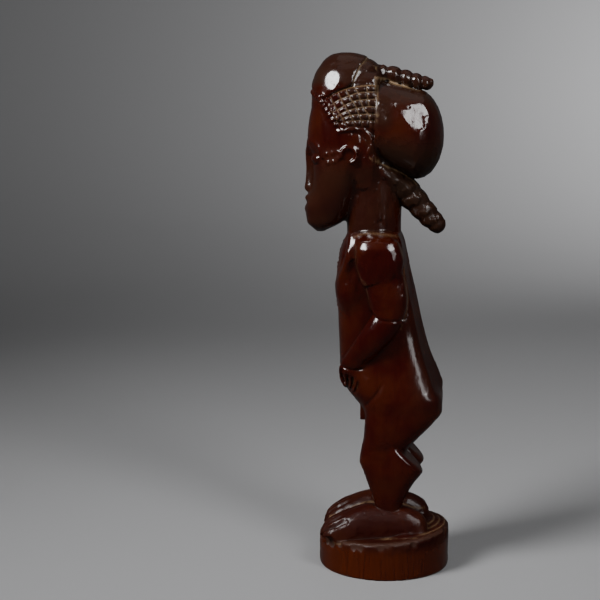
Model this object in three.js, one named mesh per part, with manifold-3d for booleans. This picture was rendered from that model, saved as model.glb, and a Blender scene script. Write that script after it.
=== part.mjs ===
// A carved wooden figure that stands on its own round base, cut from one log.
// Millimetres, +Z up. The figure faces -Y and its left side is +X. The origin is the middle of the underside.
import * as THREE from 'three';
import { mergeVertices } from 'three/addons/utils/BufferGeometryUtils.js';
import Module from 'manifold-3d';

const wasm = await Module();
wasm.setup();

// Base: a low drum whose top slopes up a little towards the heels
const BASE_RADIUS = 51.2;
const BASE_FOOT_RADIUS = 51;
const BASE_FRONT_HEIGHT = 25;
const BASE_BACK_HEIGHT = 32.6;
const BASE_CHAMFER = 2.6;
const BASE_SIDES = 44;
const HEEL_STEPS = 2;
const HEEL_STEP_WIDTH = 5;
const HEEL_STEP_HEIGHT = 3.2;
const HEEL_STEP_FROM = 8;
const HEEL_STEP_REACH = 46.6;

// Every list below gives cuts through a form: where the cut is, and the form's edges there.
// A form's power says how square its outline is: 2 is an oval, and more fills the corners.
// Feet: cuts across the foot, from the toes to the heel
const FOOT_SIDE = 20;
const FOOT_SOLE = 20;
const FOOT = [
  { at: -48.3, top: 28, half: 8 },
  { at: -45.8, top: 34, half: 13.5 },
  { at: -38, top: 40.8, half: 16.8 },
  { at: -25, top: 47.2, half: 16.8 },
  { at: -10, top: 51.4, half: 15 },
  { at: 16, top: 50.4, half: 13.2 },
  { at: 29, top: 45.2, half: 11.8 },
  { at: 34.4, top: 38.4, half: 8.5 },
  { at: 35.6, top: 29, half: 6 },
];
const FOOT_WIDE_LEVEL = 26;
const FOOT_POWER = 2.5;
const TOE_COUNT = 5;
const TOE_FRONT = -50;
const TOE_LENGTH = 19;
const TOE_GROOVE = 2.1;
const TOE_GROOVE_END = 0.5;

// Legs: level cuts from the ankle to the seat, then the calf that juts out behind with a flat top
const LEG_SIDE = 18.4;
const LEG_POWER = 2.3;
const LEG = [
  { at: 34, front: -2.5, back: 13, half: 9.4 },
  { at: 44, front: -4.2, back: 13.4, half: 9.4 },
  { at: 63, front: -10, back: 17, half: 11.3 },
  { at: 78, front: -15.2, back: 19.4, half: 13.4 },
  { at: 87, front: -18.4, back: 19.2, half: 14 },
  { at: 95, front: -17.4, back: 20.6, half: 14.2 },
  { at: 105, front: -15.4, back: 26.8, half: 15.2 },
  { at: 117, front: -14.6, back: 37.4, half: 16.2 },
  { at: 130, front: -14, back: 45.4, half: 16.6 },
  { at: 140, front: -10, back: 45.6, half: 16.2 },
  { at: 150, front: -6, back: 39.6, half: 15 },
  { at: 159, front: -2, back: 29, half: 11 },
];
const CALF_POWER = 2.5;
const CALF = [
  { at: 50, front: -2, back: 14, half: 8.8 },
  { at: 62, front: -2, back: 19.4, half: 11.6 },
  { at: 72, front: -1, back: 24.2, half: 14 },
  { at: 80, front: 0, back: 28, half: 15.6 },
  { at: 91.6, front: 2, back: 30.6, half: 15.2 },
];
const CALF_TOP_SLOPE = -0.76;
const CALF_TOP_MIDDLE = 16;

// Torso: level cuts from the seat to the shoulders. The furrow is the groove down the back.
const TORSO_POWER = 2.35;
const TORSO = [
  { at: 116, front: -8, back: 30, half: 24, furrow: 6 },
  { at: 125, front: -16.6, back: 38, half: 30, furrow: 6 },
  { at: 135, front: -25, back: 43.8, half: 33, furrow: 7 },
  { at: 145, front: -32.4, back: 44.6, half: 32.4, furrow: 7 },
  { at: 158, front: -34.8, back: 39, half: 29.4, furrow: 6 },
  { at: 174, front: -36, back: 32.8, half: 26.4, furrow: 5.4 },
  { at: 192, front: -36.8, back: 27.8, half: 25, furrow: 5 },
  { at: 206, front: -37.3, back: 24.6, half: 26.2, furrow: 4.6 },
  { at: 222, front: -38, back: 21, half: 28.4, furrow: 4 },
  { at: 242, front: -36.6, back: 16.4, half: 30, furrow: 3 },
  { at: 256, front: -33.2, back: 13.6, half: 30, furrow: 1.5 },
  { at: 263.5, front: -29.6, back: 10.6, half: 26, furrow: 0 },
];
const FURROW_SPREAD = 6;
const BREAST = { side: 13.4, y: -26, z: 221, radii: [14, 12, 20] };
const SCAR_COUNT = 10;
const SCAR_TOP = 254;
const SCAR_PITCH = 5;
const SCAR_RADIUS = 1.9;
const SCAR_LIFT = 0.6;
const LOIN_TAB = { half: 4.5, front: -19.4, back: -8, low: 115, high: 130 };

// Yoke: the bar of the shoulders, in upright cuts from the middle out to the side
const YOKE_POWER = 2.6;
const YOKE = [
  { at: 0, front: -27, back: 11, low: 236, high: 265 },
  { at: 20, front: -25, back: 11, low: 236, high: 265 },
  { at: 31, front: -20.6, back: 11.2, low: 236, high: 263.4 },
  { at: 38, front: -18, back: 10, low: 238, high: 260.5 },
  { at: 42.4, front: -14, back: 6, low: 243, high: 255 },
];

// Arms: a shoulder cap, an upper arm, and a forearm that crosses to the hand on the belly
const RIGHT_ARM_FORWARD = 2.5;
const SHOULDER_SIDE = 33;
const SHOULDER_POWER = 2.8;
const SHOULDER_HEM_SLOPE = 0.24;
const SHOULDER_CAP = [
  { at: 229, front: -16.5, back: 13, half: 8.5 },
  { at: 235, front: -18.8, back: 13.6, half: 9.8 },
  { at: 243, front: -20.8, back: 14.6, half: 10.6 },
  { at: 252, front: -21.4, back: 13, half: 10.4 },
  { at: 259, front: -19.6, back: 10, half: 7.6 },
];
const UPPER_ARM_SIDE = 32;
const UPPER_ARM_POWER = 2.5;
const UPPER_ARM = [
  { at: 197, front: -6.5, back: 13.6, half: 8 },
  { at: 203, front: -8.4, back: 16, half: 8.9 },
  { at: 214, front: -11.2, back: 17.9, half: 9.4 },
  { at: 226, front: -14.4, back: 16.6, half: 9.2 },
  { at: 236, front: -17, back: 14, half: 8.8 },
];
const FOREARM = [
  { at: [32, 4, 202], along: 11.4, across: 8.4 },
  { at: [32.6, -3.6, 190], along: 11.3, across: 8.6 },
  { at: [30, -13, 178], along: 10.2, across: 7.6 },
  { at: [25, -20.6, 167.5], along: 9, across: 6.2 },
  { at: [20, -25.4, 158], along: 9.4, across: 6 },
  { at: [17, -26.5, 150], along: 7, across: 4.6 },
];

// Fingers: laid down the belly, each a cut at its tip, its end joint, its middle and its knuckle.
// out is the share of the belly's half width and depth that the finger lies at.
const FINGER_COUNT = 4;
const FINGER_FIRST_ANGLE = -74;
const FINGER_LAST_ANGLE = -40;
const FINGER_TIP_STEP = 0.8;
const BELLY = { half: 30, deep: 34.2 };
const FINGER = [
  { z: 141, outX: 1, outY: 0.86, radius: 1.2 },
  { z: 145, outX: 1, outY: 0.93, radius: 2.6 },
  { z: 151.6, outX: 1.04, outY: 1, radius: 2.6 },
  { z: 160, outX: 1.08, outY: 0.9, radius: 1.7 },
];

// Neck and head: level cuts from the chin to the hairline, tipped up behind above the brow
const NECK = { y: -9.8, half: 18.6, deep: 20.8, low: 250, high: 321 };
const HEAD_POWER = 2.25;
const HEAD = [
  { at: 263.3, front: -53.5, back: -49, wide: -51, half: 3 },
  { at: 266, front: -57.4, back: -43, wide: -50, half: 8.5 },
  { at: 271, front: -61.6, back: -34, wide: -46, half: 13 },
  { at: 280, front: -62, back: -27, wide: -42, half: 16.8 },
  { at: 292, front: -59, back: -22, wide: -38, half: 20.6 },
  { at: 308, front: -57.2, back: -17, wide: -34, half: 24 },
  { at: 321, front: -58, back: -10, wide: -31, half: 25.6 },
  { at: 333, front: -61.4, back: -5, wide: -30, half: 26.2 },
  { at: 350, front: -60.2, back: -3, wide: -29, half: 26.2 },
  { at: 366, front: -57.2, back: -3, wide: -29, half: 25.4 },
  { at: 378, front: -54.2, back: -3, wide: -30, half: 22 },
];
const HEAD_MIDDLE = -30;
const HAIR_TIP_SLOPE = 0.12;
const HAIR_TIP_FROM = 335;
const HAIR_TIP_TO = 366;

// Crown: the smooth dome above the plaited hair, and the lower strip behind it
const CROWN_POWER = 2.2;
const CROWN = [
  { at: 368.5, front: -58, back: -3, half: 25.6, wide: -31 },
  { at: 377, front: -56.6, back: -3, half: 24.4, wide: -31 },
  { at: 385, front: -54.2, back: -5, half: 21, wide: -31 },
  { at: 391.5, front: -50.2, back: -12, half: 16.4, wide: -31 },
  { at: 396.5, front: -44.8, back: -21, half: 10.6, wide: -31 },
  { at: 399.2, front: -39, back: -30, half: 4.4, wide: -31 },
];
const CROWN_TIP_SLOPE = 0.06;
const CROWN_STEP = 0.9;
const CROWN_STEP_ABOVE = 0.6;
const CROWN_TOP_FROM = 390;
const CROWN_EDGE = { top: [-11, 403], bend: [-16, 384], low: [-28, 362] };
const CROWN_CUTTER = { front: -80, high: 413, half: 40 };

// Plaited hair: raised blocks between crossing grooves, on each side of the head and over the brow
const PLAIT_ROWS = 7;
const PLAIT_COLUMNS = 8;
const PLAIT_HEIGHT = 2;
const PLAIT_FLOOR = 0.5;
const PLAIT_ROOT = -3;
const PLAIT_ROW_LIFT = 3;
const HAIRLINE = { low: [-35, 342], high: [-53, 369.5] };
const HAIR_REAR = { low: [-6, 347], high: [-6, 376.5] };
const BROW_BAND = { columns: 8, rows: 1, half: 13, low: 364, high: 369.5 };

// Face: a long nose, half shut eyes under arched brows, small lips, and marks at the temple
const NOSE_ROOT = -55.5;
const NOSE_ROOT_DEPTH = 2;
const NOSE = [
  { at: 293.6, ridge: -61.2, half: 4.4 },
  { at: 296.4, ridge: -63.6, half: 5.6 },
  { at: 301, ridge: -63, half: 4 },
  { at: 312, ridge: -62.6, half: 2.7 },
  { at: 323, ridge: -63.2, half: 2.6 },
  { at: 333, ridge: -61.8, half: 2.2 },
];
const LIPS = [
  { at: [0, -61.4, 289.2], radii: [7.6, 3.4, 2.9], sides: 8, rows: 4 },
  { at: [0, -61.6, 280.6], radii: [6.8, 3.5, 3.4], sides: 8, rows: 4 },
];
const EYE_TURN = [0, 0, 26];
const EYE = { at: [12.6, -53.6, 319.2], radii: [7.6, 3.4, 4.2], turns: EYE_TURN, sides: 8, rows: 6 };
const EYE_SLIT = { at: [12.6, -57.2, 318.2], radii: [6.1, 1.8, 0.8], turns: EYE_TURN, sides: 6, rows: 3 };
const BROW = [
  { at: [2, -60.5, 324], along: 2.1, across: 2.1 },
  { at: [12.5, -58, 331], along: 2.1, across: 2.1 },
  { at: [22.5, -45.5, 326], along: 1, across: 1 },
];
const EAR = { side: 25, y: -27.5, z: 323, radius: 5.8, rim: 2.1, from: -70, to: 190, steps: 5 };
const TEMPLE_MARKS = { count: 3, y: -42, z: 320, pitch: 3.6, drop: 1, radius: 1.7, lift: 0.2 };

// Bun: a great round knob behind the head, cut off flat in front and swelling to a round back
const BUN_POWER = 2.2;
const BUN_FRONT = { y: -8, middle: 349.4, tall: 29.6, half: 30.5 };
const BUN_FULL = { y: 22, middle: 338, tall: 33.6, half: 33.5 };
const BUN_BACK = { y: 42.8, middle: 336.6 };
const BUN_STRAIGHT_ROWS = 4;
const BUN_ROUND_ROWS = 5;

// Braids: one lies along the top of the bun, the other hangs from the nape
const TOP_BRAID = [
  { at: [0, -9, 384.8], along: 6.4, across: 7 },
  { at: [0, 6, 381.4], along: 6.6, across: 7.4 },
  { at: [0, 18, 378.2], along: 6, across: 6.8 },
  { at: [0, 27, 376.2], along: 4.8, across: 5.4 },
  { at: [0, 34, 377.2], along: 2.8, across: 3.4 },
];
const TOP_BRAID_LOBES = 6;
const NAPE_BRAID = [
  { at: [0, -9, 315], along: 8, across: 22 },
  { at: [0, 4, 303.8], along: 9.4, across: 17 },
  { at: [0, 15.5, 295.6], along: 11.2, across: 12 },
  { at: [0, 25, 282.6], along: 9, across: 9.4 },
  { at: [0, 35.4, 269.8], along: 7.2, across: 8 },
  { at: [0, 42.8, 264.4], along: 4, across: 4.4 },
];
const NAPE_BRAID_LOBES = 7;
const NAPE_BRAID_PLAIN = 0.45;
const LOBE_DEPTH = 0.13;
const LOBE_ROWS = 3;

const WOOD = { color: 0x3a120a, roughness: 0.28, metalness: 0 };

const radians = THREE.MathUtils.degToRad;
const mix = THREE.MathUtils.lerp;

// A closed geometry with its shared corners merged, so that only its places are left
function merged(geometry) {
  const bare = geometry.clone();
  bare.deleteAttribute('normal');
  bare.deleteAttribute('uv');
  return mergeVertices(bare, 1e-4);
}

// A closed geometry as a solid that can be joined and cut
function solid(geometry) {
  const closed = merged(geometry);
  const corners = [];
  for (let i = 0; i < closed.index.count; i += 3) {
    const [a, b, c] = [0, 1, 2].map((k) => closed.index.getX(i + k));
    if (a !== b && b !== c && c !== a) {
      corners.push(a, b, c);
    }
  }
  return new wasm.Manifold(new wasm.Mesh({
    numProp: 3,
    vertProperties: new Float32Array(closed.attributes.position.array),
    triVerts: new Uint32Array(corners),
  }));
}

function joined(solids) {
  return solids.reduce((whole, piece) => whole.add(piece));
}

// The same geometry on the other side of the body, with its faces turned out again
function mirrored(geometry) {
  const copy = merged(geometry);
  copy.scale(-1, 1, 1);
  const index = copy.index;
  for (let i = 0; i < index.count; i += 3) {
    const b = index.getX(i + 1);
    index.setX(i + 1, index.getX(i + 2));
    index.setX(i + 2, b);
  }
  return copy;
}

function onBothSides(geometry) {
  return joined([solid(geometry), solid(mirrored(geometry))]);
}

// A size read off a list of cuts, eased between them without overshooting
function sizeAt(cuts, key, at) {
  const last = cuts.length - 1;
  if (at <= cuts[0].at) {
    return cuts[0][key];
  }
  if (at >= cuts[last].at) {
    return cuts[last][key];
  }
  const slope = (k) => (cuts[k + 1][key] - cuts[k][key]) / (cuts[k + 1].at - cuts[k].at);
  const tangent = (k) => {
    if (k === 0 || k === last) {
      return slope(Math.min(k, last - 1));
    }
    const product = slope(k - 1) * slope(k);
    return product <= 0 ? 0 : 2 * product / (slope(k - 1) + slope(k));
  };
  const i = cuts.findIndex((cut) => cut.at > at) - 1;
  const span = cuts[i + 1].at - cuts[i].at;
  const t = (at - cuts[i].at) / span;
  const rise = t * t * (3 - 2 * t);
  return mix(cuts[i][key], cuts[i + 1][key], rise)
    + span * t * (1 - t) * ((1 - t) * tangent(i) - t * tangent(i + 1));
}

// A closed skin: each row of a cylinder is moved to its place by place(share of height, angle, reach)
function skin(sides, rows, place) {
  const geometry = new THREE.CylinderGeometry(1, 1, 1, sides, rows);
  const position = geometry.attributes.position;
  for (let i = 0; i < position.count; i += 1) {
    const angle = Math.atan2(-position.getZ(i), position.getX(i));
    const reach = Math.hypot(position.getX(i), position.getZ(i));
    position.setXYZ(i, ...place(position.getY(i) + 0.5, angle, reach));
  }
  return geometry;
}

// A point of a rounded outline with unlike front and back
function outline(angle, reach, { front, back, wide, half, power }) {
  const round = (v) => Math.sign(v) * Math.abs(v) ** (2 / power);
  const across = half * round(Math.cos(angle)) * reach;
  const deep = round(Math.sin(angle)) * reach;
  return [across, wide + deep * (deep < 0 ? wide - front : back - wide)];
}

// The height of a rounded outline's curve, from 1 at its middle to 0 at its edge
function crest(share, power) {
  return (1 - Math.min(1, Math.abs(share)) ** power) ** (1 / power);
}

// A form built up from level cuts, a row of corners for each, centred beside the middle by side
function levelForm(cuts, { sides, power, side = 0, shape = (point) => point }) {
  return skin(sides, cuts.length - 1, (share, angle, reach) => {
    const { at, front, back, half, wide = (front + back) / 2 } = cuts[Math.round(share * (cuts.length - 1))];
    const [x, y] = outline(angle, reach, { front, back, wide, half, power });
    return shape([x + side, y, at], share);
  });
}

// The middle of a path and the two directions square to it, one of them as level as can be
function pathFrame(path, share) {
  const centre = path.getPoint(share);
  const ahead = path.getTangent(share);
  const along = new THREE.Vector3().crossVectors(ahead, new THREE.Vector3(1, 0, 0)).normalize();
  const across = new THREE.Vector3().crossVectors(along, ahead).normalize();
  return { centre, across, along };
}

// A form that follows a path of cuts, with an oval section square to the path.
// swell(share, angle) makes the section larger or smaller than its cut says.
function pathForm(cuts, sides, rows, swell = () => 1) {
  const path = new THREE.CatmullRomCurve3(cuts.map((cut) => new THREE.Vector3(...cut.at)));
  const spots = cuts.map((cut, i) => ({ ...cut, at: i / (cuts.length - 1) }));
  return skin(sides, rows, (share, angle, reach) => {
    const { centre, across, along } = pathFrame(path, share);
    const size = reach * swell(share, angle);
    const width = sizeAt(spots, 'across', share) * Math.cos(angle) * size;
    const depth = sizeAt(spots, 'along', share) * Math.sin(angle) * size;
    return centre.addScaledVector(across, width).addScaledVector(along, depth).toArray();
  });
}

function ball({ at, radii, sides, rows, turns = [0, 0, 0] }) {
  const geometry = new THREE.SphereGeometry(1, sides, rows);
  geometry.rotateX(Math.PI / 2);
  geometry.scale(...radii);
  geometry.applyMatrix4(new THREE.Matrix4().makeRotationFromEuler(
    new THREE.Euler(...turns.map((turn) => radians(turn))),
  ));
  geometry.translate(...at);
  return geometry;
}

function block({ low, high }) {
  const size = high.map((value, i) => value - low[i]);
  const geometry = new THREE.BoxGeometry(...size);
  geometry.translate(...low.map((value, i) => value + size[i] / 2));
  return geometry;
}

function baseTop(y) {
  return mix(BASE_FRONT_HEIGHT, BASE_BACK_HEIGHT, (y + BASE_RADIUS) / (2 * BASE_RADIUS));
}

function base() {
  const rings = [
    { radius: BASE_FOOT_RADIUS, height: () => 0 },
    { radius: BASE_RADIUS, height: (y) => baseTop(y) - BASE_CHAMFER },
    { radius: BASE_RADIUS - BASE_CHAMFER, height: baseTop },
  ];
  return solid(skin(BASE_SIDES, rings.length - 1, (share, angle, reach) => {
    const ring = rings[Math.round(share * (rings.length - 1))];
    const x = ring.radius * reach * Math.cos(angle);
    const y = ring.radius * reach * Math.sin(angle);
    return [x, y, ring.height(y)];
  }));
}

// Low carved steps that ring the heels
function heelSteps() {
  const steps = [];
  for (let i = 0; i < HEEL_STEPS; i += 1) {
    const radius = HEEL_STEP_REACH - i * HEEL_STEP_WIDTH;
    steps.push(solid(skin(24, 1, (share, angle, reach) => {
      const x = radius * reach * Math.cos(angle);
      const y = Math.max(radius * reach * Math.sin(angle), HEEL_STEP_FROM - i);
      return [x, y, share === 0 ? FOOT_SOLE : baseTop(y) + (i + 1) * HEEL_STEP_HEIGHT];
    })));
  }
  return joined(steps);
}

function foot() {
  return skin(12, FOOT.length - 1, (share, angle, reach) => {
    const cut = FOOT[Math.round((1 - share) * (FOOT.length - 1))];
    const [across, up] = outline(angle, reach, {
      front: FOOT_SOLE,
      back: cut.top,
      wide: FOOT_WIDE_LEVEL,
      half: cut.half,
      power: FOOT_POWER,
    });
    return [FOOT_SIDE + across, cut.at, up];
  });
}

// Tapering wedges that part the toes, laid along the top of the foot
function toeGrooves() {
  const grooves = [];
  for (let i = 1; i < TOE_COUNT; i += 1) {
    const share = 2 * i / TOE_COUNT - 1;
    const groove = skin(3, 3, (end, angle, reach) => {
      const y = TOE_FRONT + (1 - end) * TOE_LENGTH;
      const x = FOOT_SIDE + share * sizeAt(FOOT, 'half', Math.max(y, FOOT[1].at));
      const top = sizeAt(FOOT, 'top', y) - FOOT_WIDE_LEVEL;
      const size = mix(TOE_GROOVE_END, TOE_GROOVE, end) * reach;
      return [
        x + size * Math.cos(angle),
        y,
        FOOT_WIDE_LEVEL + top * crest(share, FOOT_POWER) + size * Math.sin(angle),
      ];
    });
    grooves.push(onBothSides(groove));
  }
  return joined(grooves);
}

function leg() {
  return levelForm(LEG, { sides: 12, power: LEG_POWER, side: LEG_SIDE });
}

function calf() {
  return levelForm(CALF, {
    sides: 10,
    power: CALF_POWER,
    side: LEG_SIDE,
    shape: ([x, y, z], share) => [x, y, z + share ** 2 * CALF_TOP_SLOPE * (y - CALF_TOP_MIDDLE)],
  });
}

function torso() {
  return solid(levelForm(TORSO, {
    sides: 26,
    power: TORSO_POWER,
    shape: ([x, y, z]) => {
      const hollow = sizeAt(TORSO, 'furrow', z) * Math.exp(-((x / FURROW_SPREAD) ** 2));
      return [x, y > 0 ? y - hollow : y, z];
    },
  }));
}

function breast() {
  return ball({ at: [BREAST.side, BREAST.y, BREAST.z], radii: BREAST.radii, sides: 10, rows: 8 });
}

// A row of small raised scars down the middle of the chest
function scars() {
  const radii = [SCAR_RADIUS, SCAR_RADIUS, SCAR_RADIUS];
  const beads = [];
  for (let i = 0; i < SCAR_COUNT; i += 1) {
    const z = SCAR_TOP - i * SCAR_PITCH;
    const y = sizeAt(TORSO, 'front', z) + SCAR_LIFT;
    beads.push(solid(ball({ at: [0, y, z], radii, sides: 4, rows: 2 })));
  }
  return joined(beads);
}

function loinTab() {
  const { half, front, back, low, high } = LOIN_TAB;
  return solid(block({ low: [-half, front, low], high: [half, back, high] }));
}

function yoke() {
  const right = YOKE.slice(1).reverse().map((cut) => ({ ...cut, at: -cut.at }));
  const cuts = [...right, ...YOKE];
  return solid(skin(10, cuts.length - 1, (share, angle, reach) => {
    const { at, front, back, low, high } = cuts[Math.round(share * (cuts.length - 1))];
    const [deep, z] = outline(angle, reach, {
      front: low,
      back: high,
      wide: (low + high) / 2,
      half: (back - front) / 2,
      power: YOKE_POWER,
    });
    return [at, deep + (front + back) / 2, z];
  }));
}

function shoulderCap() {
  return levelForm(SHOULDER_CAP, {
    sides: 10,
    power: SHOULDER_POWER,
    side: SHOULDER_SIDE,
    shape: ([x, y, z], share) => [x, y, z + (1 - share) ** 3 * SHOULDER_HEM_SLOPE * y],
  });
}

function upperArm() {
  return levelForm(UPPER_ARM, { sides: 10, power: UPPER_ARM_POWER, side: UPPER_ARM_SIDE });
}

function forearm() {
  return pathForm(FOREARM, 8, 6);
}

// The right arm is carved a little further forward than the left
function onBothShoulders(geometry) {
  const right = mirrored(geometry);
  right.translate(0, -RIGHT_ARM_FORWARD, 0);
  return joined([solid(geometry), solid(right)]);
}

function fingers() {
  const solids = [];
  for (let i = 0; i < FINGER_COUNT; i += 1) {
    const angle = radians(mix(FINGER_FIRST_ANGLE, FINGER_LAST_ANGLE, i / (FINGER_COUNT - 1)));
    const cuts = FINGER.map(({ z, outX, outY, radius }) => ({
      at: [BELLY.half * Math.cos(angle) * outX, BELLY.deep * Math.sin(angle) * outY, z + i * FINGER_TIP_STEP],
      along: radius,
      across: radius,
    }));
    solids.push(onBothSides(pathForm(cuts, 5, 3)));
  }
  return joined(solids);
}

function neck() {
  return solid(skin(20, 1, (share, angle, reach) => [
    NECK.half * reach * Math.cos(angle),
    NECK.y + NECK.deep * reach * Math.sin(angle),
    mix(NECK.low, NECK.high, share),
  ]));
}

// How far a level cut is tipped up behind at a given height
function hairTip(y, z) {
  const share = THREE.MathUtils.smoothstep(z, HAIR_TIP_FROM, HAIR_TIP_TO);
  return share * HAIR_TIP_SLOPE * (y - HEAD_MIDDLE);
}

function head() {
  return solid(levelForm(HEAD, {
    sides: 20,
    power: HEAD_POWER,
    shape: ([x, y, z]) => [x, y, z + hairTip(y, z)],
  }));
}

// The head's half width at a place on its side
function headSide(y, z) {
  const level = z - hairTip(y, z);
  const wide = sizeAt(HEAD, 'wide', level);
  const edge = sizeAt(HEAD, y < wide ? 'front' : 'back', level);
  return sizeAt(HEAD, 'half', level) * crest((y - wide) / (edge - wide), HEAD_POWER);
}

// The brow's place at a distance from the middle
function headFront(x, z) {
  const wide = sizeAt(HEAD, 'wide', z);
  return wide + (sizeAt(HEAD, 'front', z) - wide) * crest(x / sizeAt(HEAD, 'half', z), HEAD_POWER);
}

function crownForm(grow) {
  const cuts = CROWN.map((cut) => ({
    ...cut,
    at: cut.at + (cut.at > CROWN_TOP_FROM ? grow * CROWN_STEP_ABOVE : 0),
    front: cut.front - grow,
    half: cut.half + grow,
  }));
  return solid(levelForm(cuts, {
    sides: 18,
    power: CROWN_POWER,
    shape: ([x, y, z]) => [x, y, z + CROWN_TIP_SLOPE * (y - HEAD_MIDDLE)],
  }));
}

// The dome stands a step above the strip behind it, with a curved edge between them
function crown() {
  const edge = new THREE.Shape();
  edge.moveTo(CROWN_CUTTER.front, CROWN_EDGE.low[1]);
  edge.lineTo(...CROWN_EDGE.low);
  edge.quadraticCurveTo(...CROWN_EDGE.bend, ...CROWN_EDGE.top);
  edge.lineTo(CROWN_CUTTER.front, CROWN_CUTTER.high);
  edge.closePath();
  const depth = 2 * CROWN_CUTTER.half;
  const cutter = new THREE.ExtrudeGeometry(edge, { depth, bevelEnabled: false, curveSegments: 5 });
  cutter.applyMatrix4(new THREE.Matrix4().makeBasis(
    new THREE.Vector3(0, 1, 0),
    new THREE.Vector3(0, 0, 1),
    new THREE.Vector3(1, 0, 0),
  ));
  cutter.translate(-CROWN_CUTTER.half, 0, 0);
  return crownForm(0).add(crownForm(CROWN_STEP).intersect(solid(cutter)));
}

// A slab of raised blocks, each rising to a blunt point, laid on surface(u, v, height)
function plaits(columns, rows, surface) {
  const slab = new THREE.BoxGeometry(1, 1, 1, 2 * columns, 2 * rows, 1);
  const position = slab.attributes.position;
  for (let i = 0; i < position.count; i += 1) {
    const u = position.getX(i) + 0.5;
    const v = position.getY(i) + 0.5;
    const onBlock = Math.round(u * 2 * columns) % 2 && Math.round(v * 2 * rows) % 2;
    const above = onBlock ? PLAIT_HEIGHT : PLAIT_FLOOR;
    position.setXYZ(i, ...surface(u, v, position.getZ(i) > 0 ? above : PLAIT_ROOT));
  }
  return slab;
}

function sidePlaits() {
  return plaits(PLAIT_COLUMNS, PLAIT_ROWS, (u, v, height) => {
    const front = HAIRLINE.low.map((value, i) => mix(value, HAIRLINE.high[i], v));
    const rear = HAIR_REAR.low.map((value, i) => mix(value, HAIR_REAR.high[i], v));
    const y = mix(front[0], rear[0], u);
    const z = mix(front[1], rear[1], u) + 4 * u * (1 - u) * PLAIT_ROW_LIFT;
    return [headSide(y, z) + height, y, z];
  });
}

// The band of blocks that runs over the brow, from one side's hair to the other's
function browPlaits() {
  return solid(plaits(BROW_BAND.columns, BROW_BAND.rows, (u, v, height) => {
    const x = mix(-BROW_BAND.half, BROW_BAND.half, u);
    const z = mix(BROW_BAND.low, BROW_BAND.high, v);
    const y = headFront(x, z);
    return [x, y - height, z + hairTip(y, z)];
  }));
}

function nose() {
  return solid(skin(8, NOSE.length - 1, (share, angle, reach) => {
    const cut = NOSE[Math.round(share * (NOSE.length - 1))];
    const deep = Math.sin(angle) * reach;
    const y = NOSE_ROOT + deep * (deep < 0 ? NOSE_ROOT - cut.ridge : NOSE_ROOT_DEPTH);
    return [cut.half * Math.cos(angle) * reach, y, cut.at];
  }));
}

function face() {
  const lips = LIPS.map((lip) => solid(ball(lip)));
  const eyes = onBothSides(ball(EYE)).subtract(onBothSides(ball(EYE_SLIT)));
  return joined([nose(), ...lips, eyes, onBothSides(pathForm(BROW, 4, 5))]);
}

// The ear is a raised rim, open towards the face
function ear() {
  const points = [];
  for (let i = 0; i <= EAR.steps; i += 1) {
    const angle = radians(mix(EAR.from, EAR.to, i / EAR.steps));
    points.push(new THREE.Vector3(
      EAR.side,
      EAR.y + EAR.radius * Math.cos(angle),
      EAR.z + EAR.radius * Math.sin(angle),
    ));
  }
  const section = new THREE.Shape().absarc(0, 0, EAR.rim, 0, 2 * Math.PI);
  return new THREE.ExtrudeGeometry(section, {
    steps: EAR.steps,
    curveSegments: 3,
    bevelEnabled: false,
    extrudePath: new THREE.CatmullRomCurve3(points),
  });
}

function templeMarks() {
  const { count, pitch, drop, radius, lift } = TEMPLE_MARKS;
  const radii = [radius, radius, radius];
  const marks = [];
  for (let i = 0; i < count; i += 1) {
    const y = TEMPLE_MARKS.y + i * pitch;
    const z = TEMPLE_MARKS.z - i * drop;
    marks.push(onBothSides(ball({ at: [headSide(y, z) + lift, y, z], radii, sides: 4, rows: 2 })));
  }
  return joined(marks);
}

// The bun's rows run straight back while it swells, and then close round its back
function bun() {
  const rows = BUN_STRAIGHT_ROWS + BUN_ROUND_ROWS;
  return solid(skin(22, rows, (share, angle, reach) => {
    const row = Math.round((1 - share) * rows);
    const straight = Math.min(1, row / BUN_STRAIGHT_ROWS);
    const bend = Math.PI / 2 * Math.max(0, row - BUN_STRAIGHT_ROWS) / BUN_ROUND_ROWS;
    const swell = Math.sin(Math.PI / 2 * straight);
    const y = mix(BUN_FRONT.y, BUN_FULL.y, straight) + (BUN_BACK.y - BUN_FULL.y) * Math.sin(bend);
    const tall = mix(BUN_FRONT.tall, BUN_FULL.tall, swell) * Math.cos(bend);
    const half = mix(BUN_FRONT.half, BUN_FULL.half, swell) * Math.cos(bend);
    const middle = mix(mix(BUN_FRONT.middle, BUN_FULL.middle, straight), BUN_BACK.middle, 1 - Math.cos(bend));
    const [x, up] = outline(angle, reach, { front: -tall, back: tall, wide: 0, half, power: BUN_POWER });
    return [x, y, middle + up];
  }));
}

// Two strands that pass each other along a path: their swellings alternate from side to side
function braid(cuts, lobes, plain) {
  return solid(pathForm(cuts, 10, lobes * LOBE_ROWS, (share, angle) => {
    const strand = Math.cos(angle) > 0.01 ? 0 : Math.PI;
    const wave = Math.cos(2 * Math.PI * share * lobes + strand - Math.sin(angle));
    return 1 + (share > plain ? LOBE_DEPTH * wave : 0);
  }));
}

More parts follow.
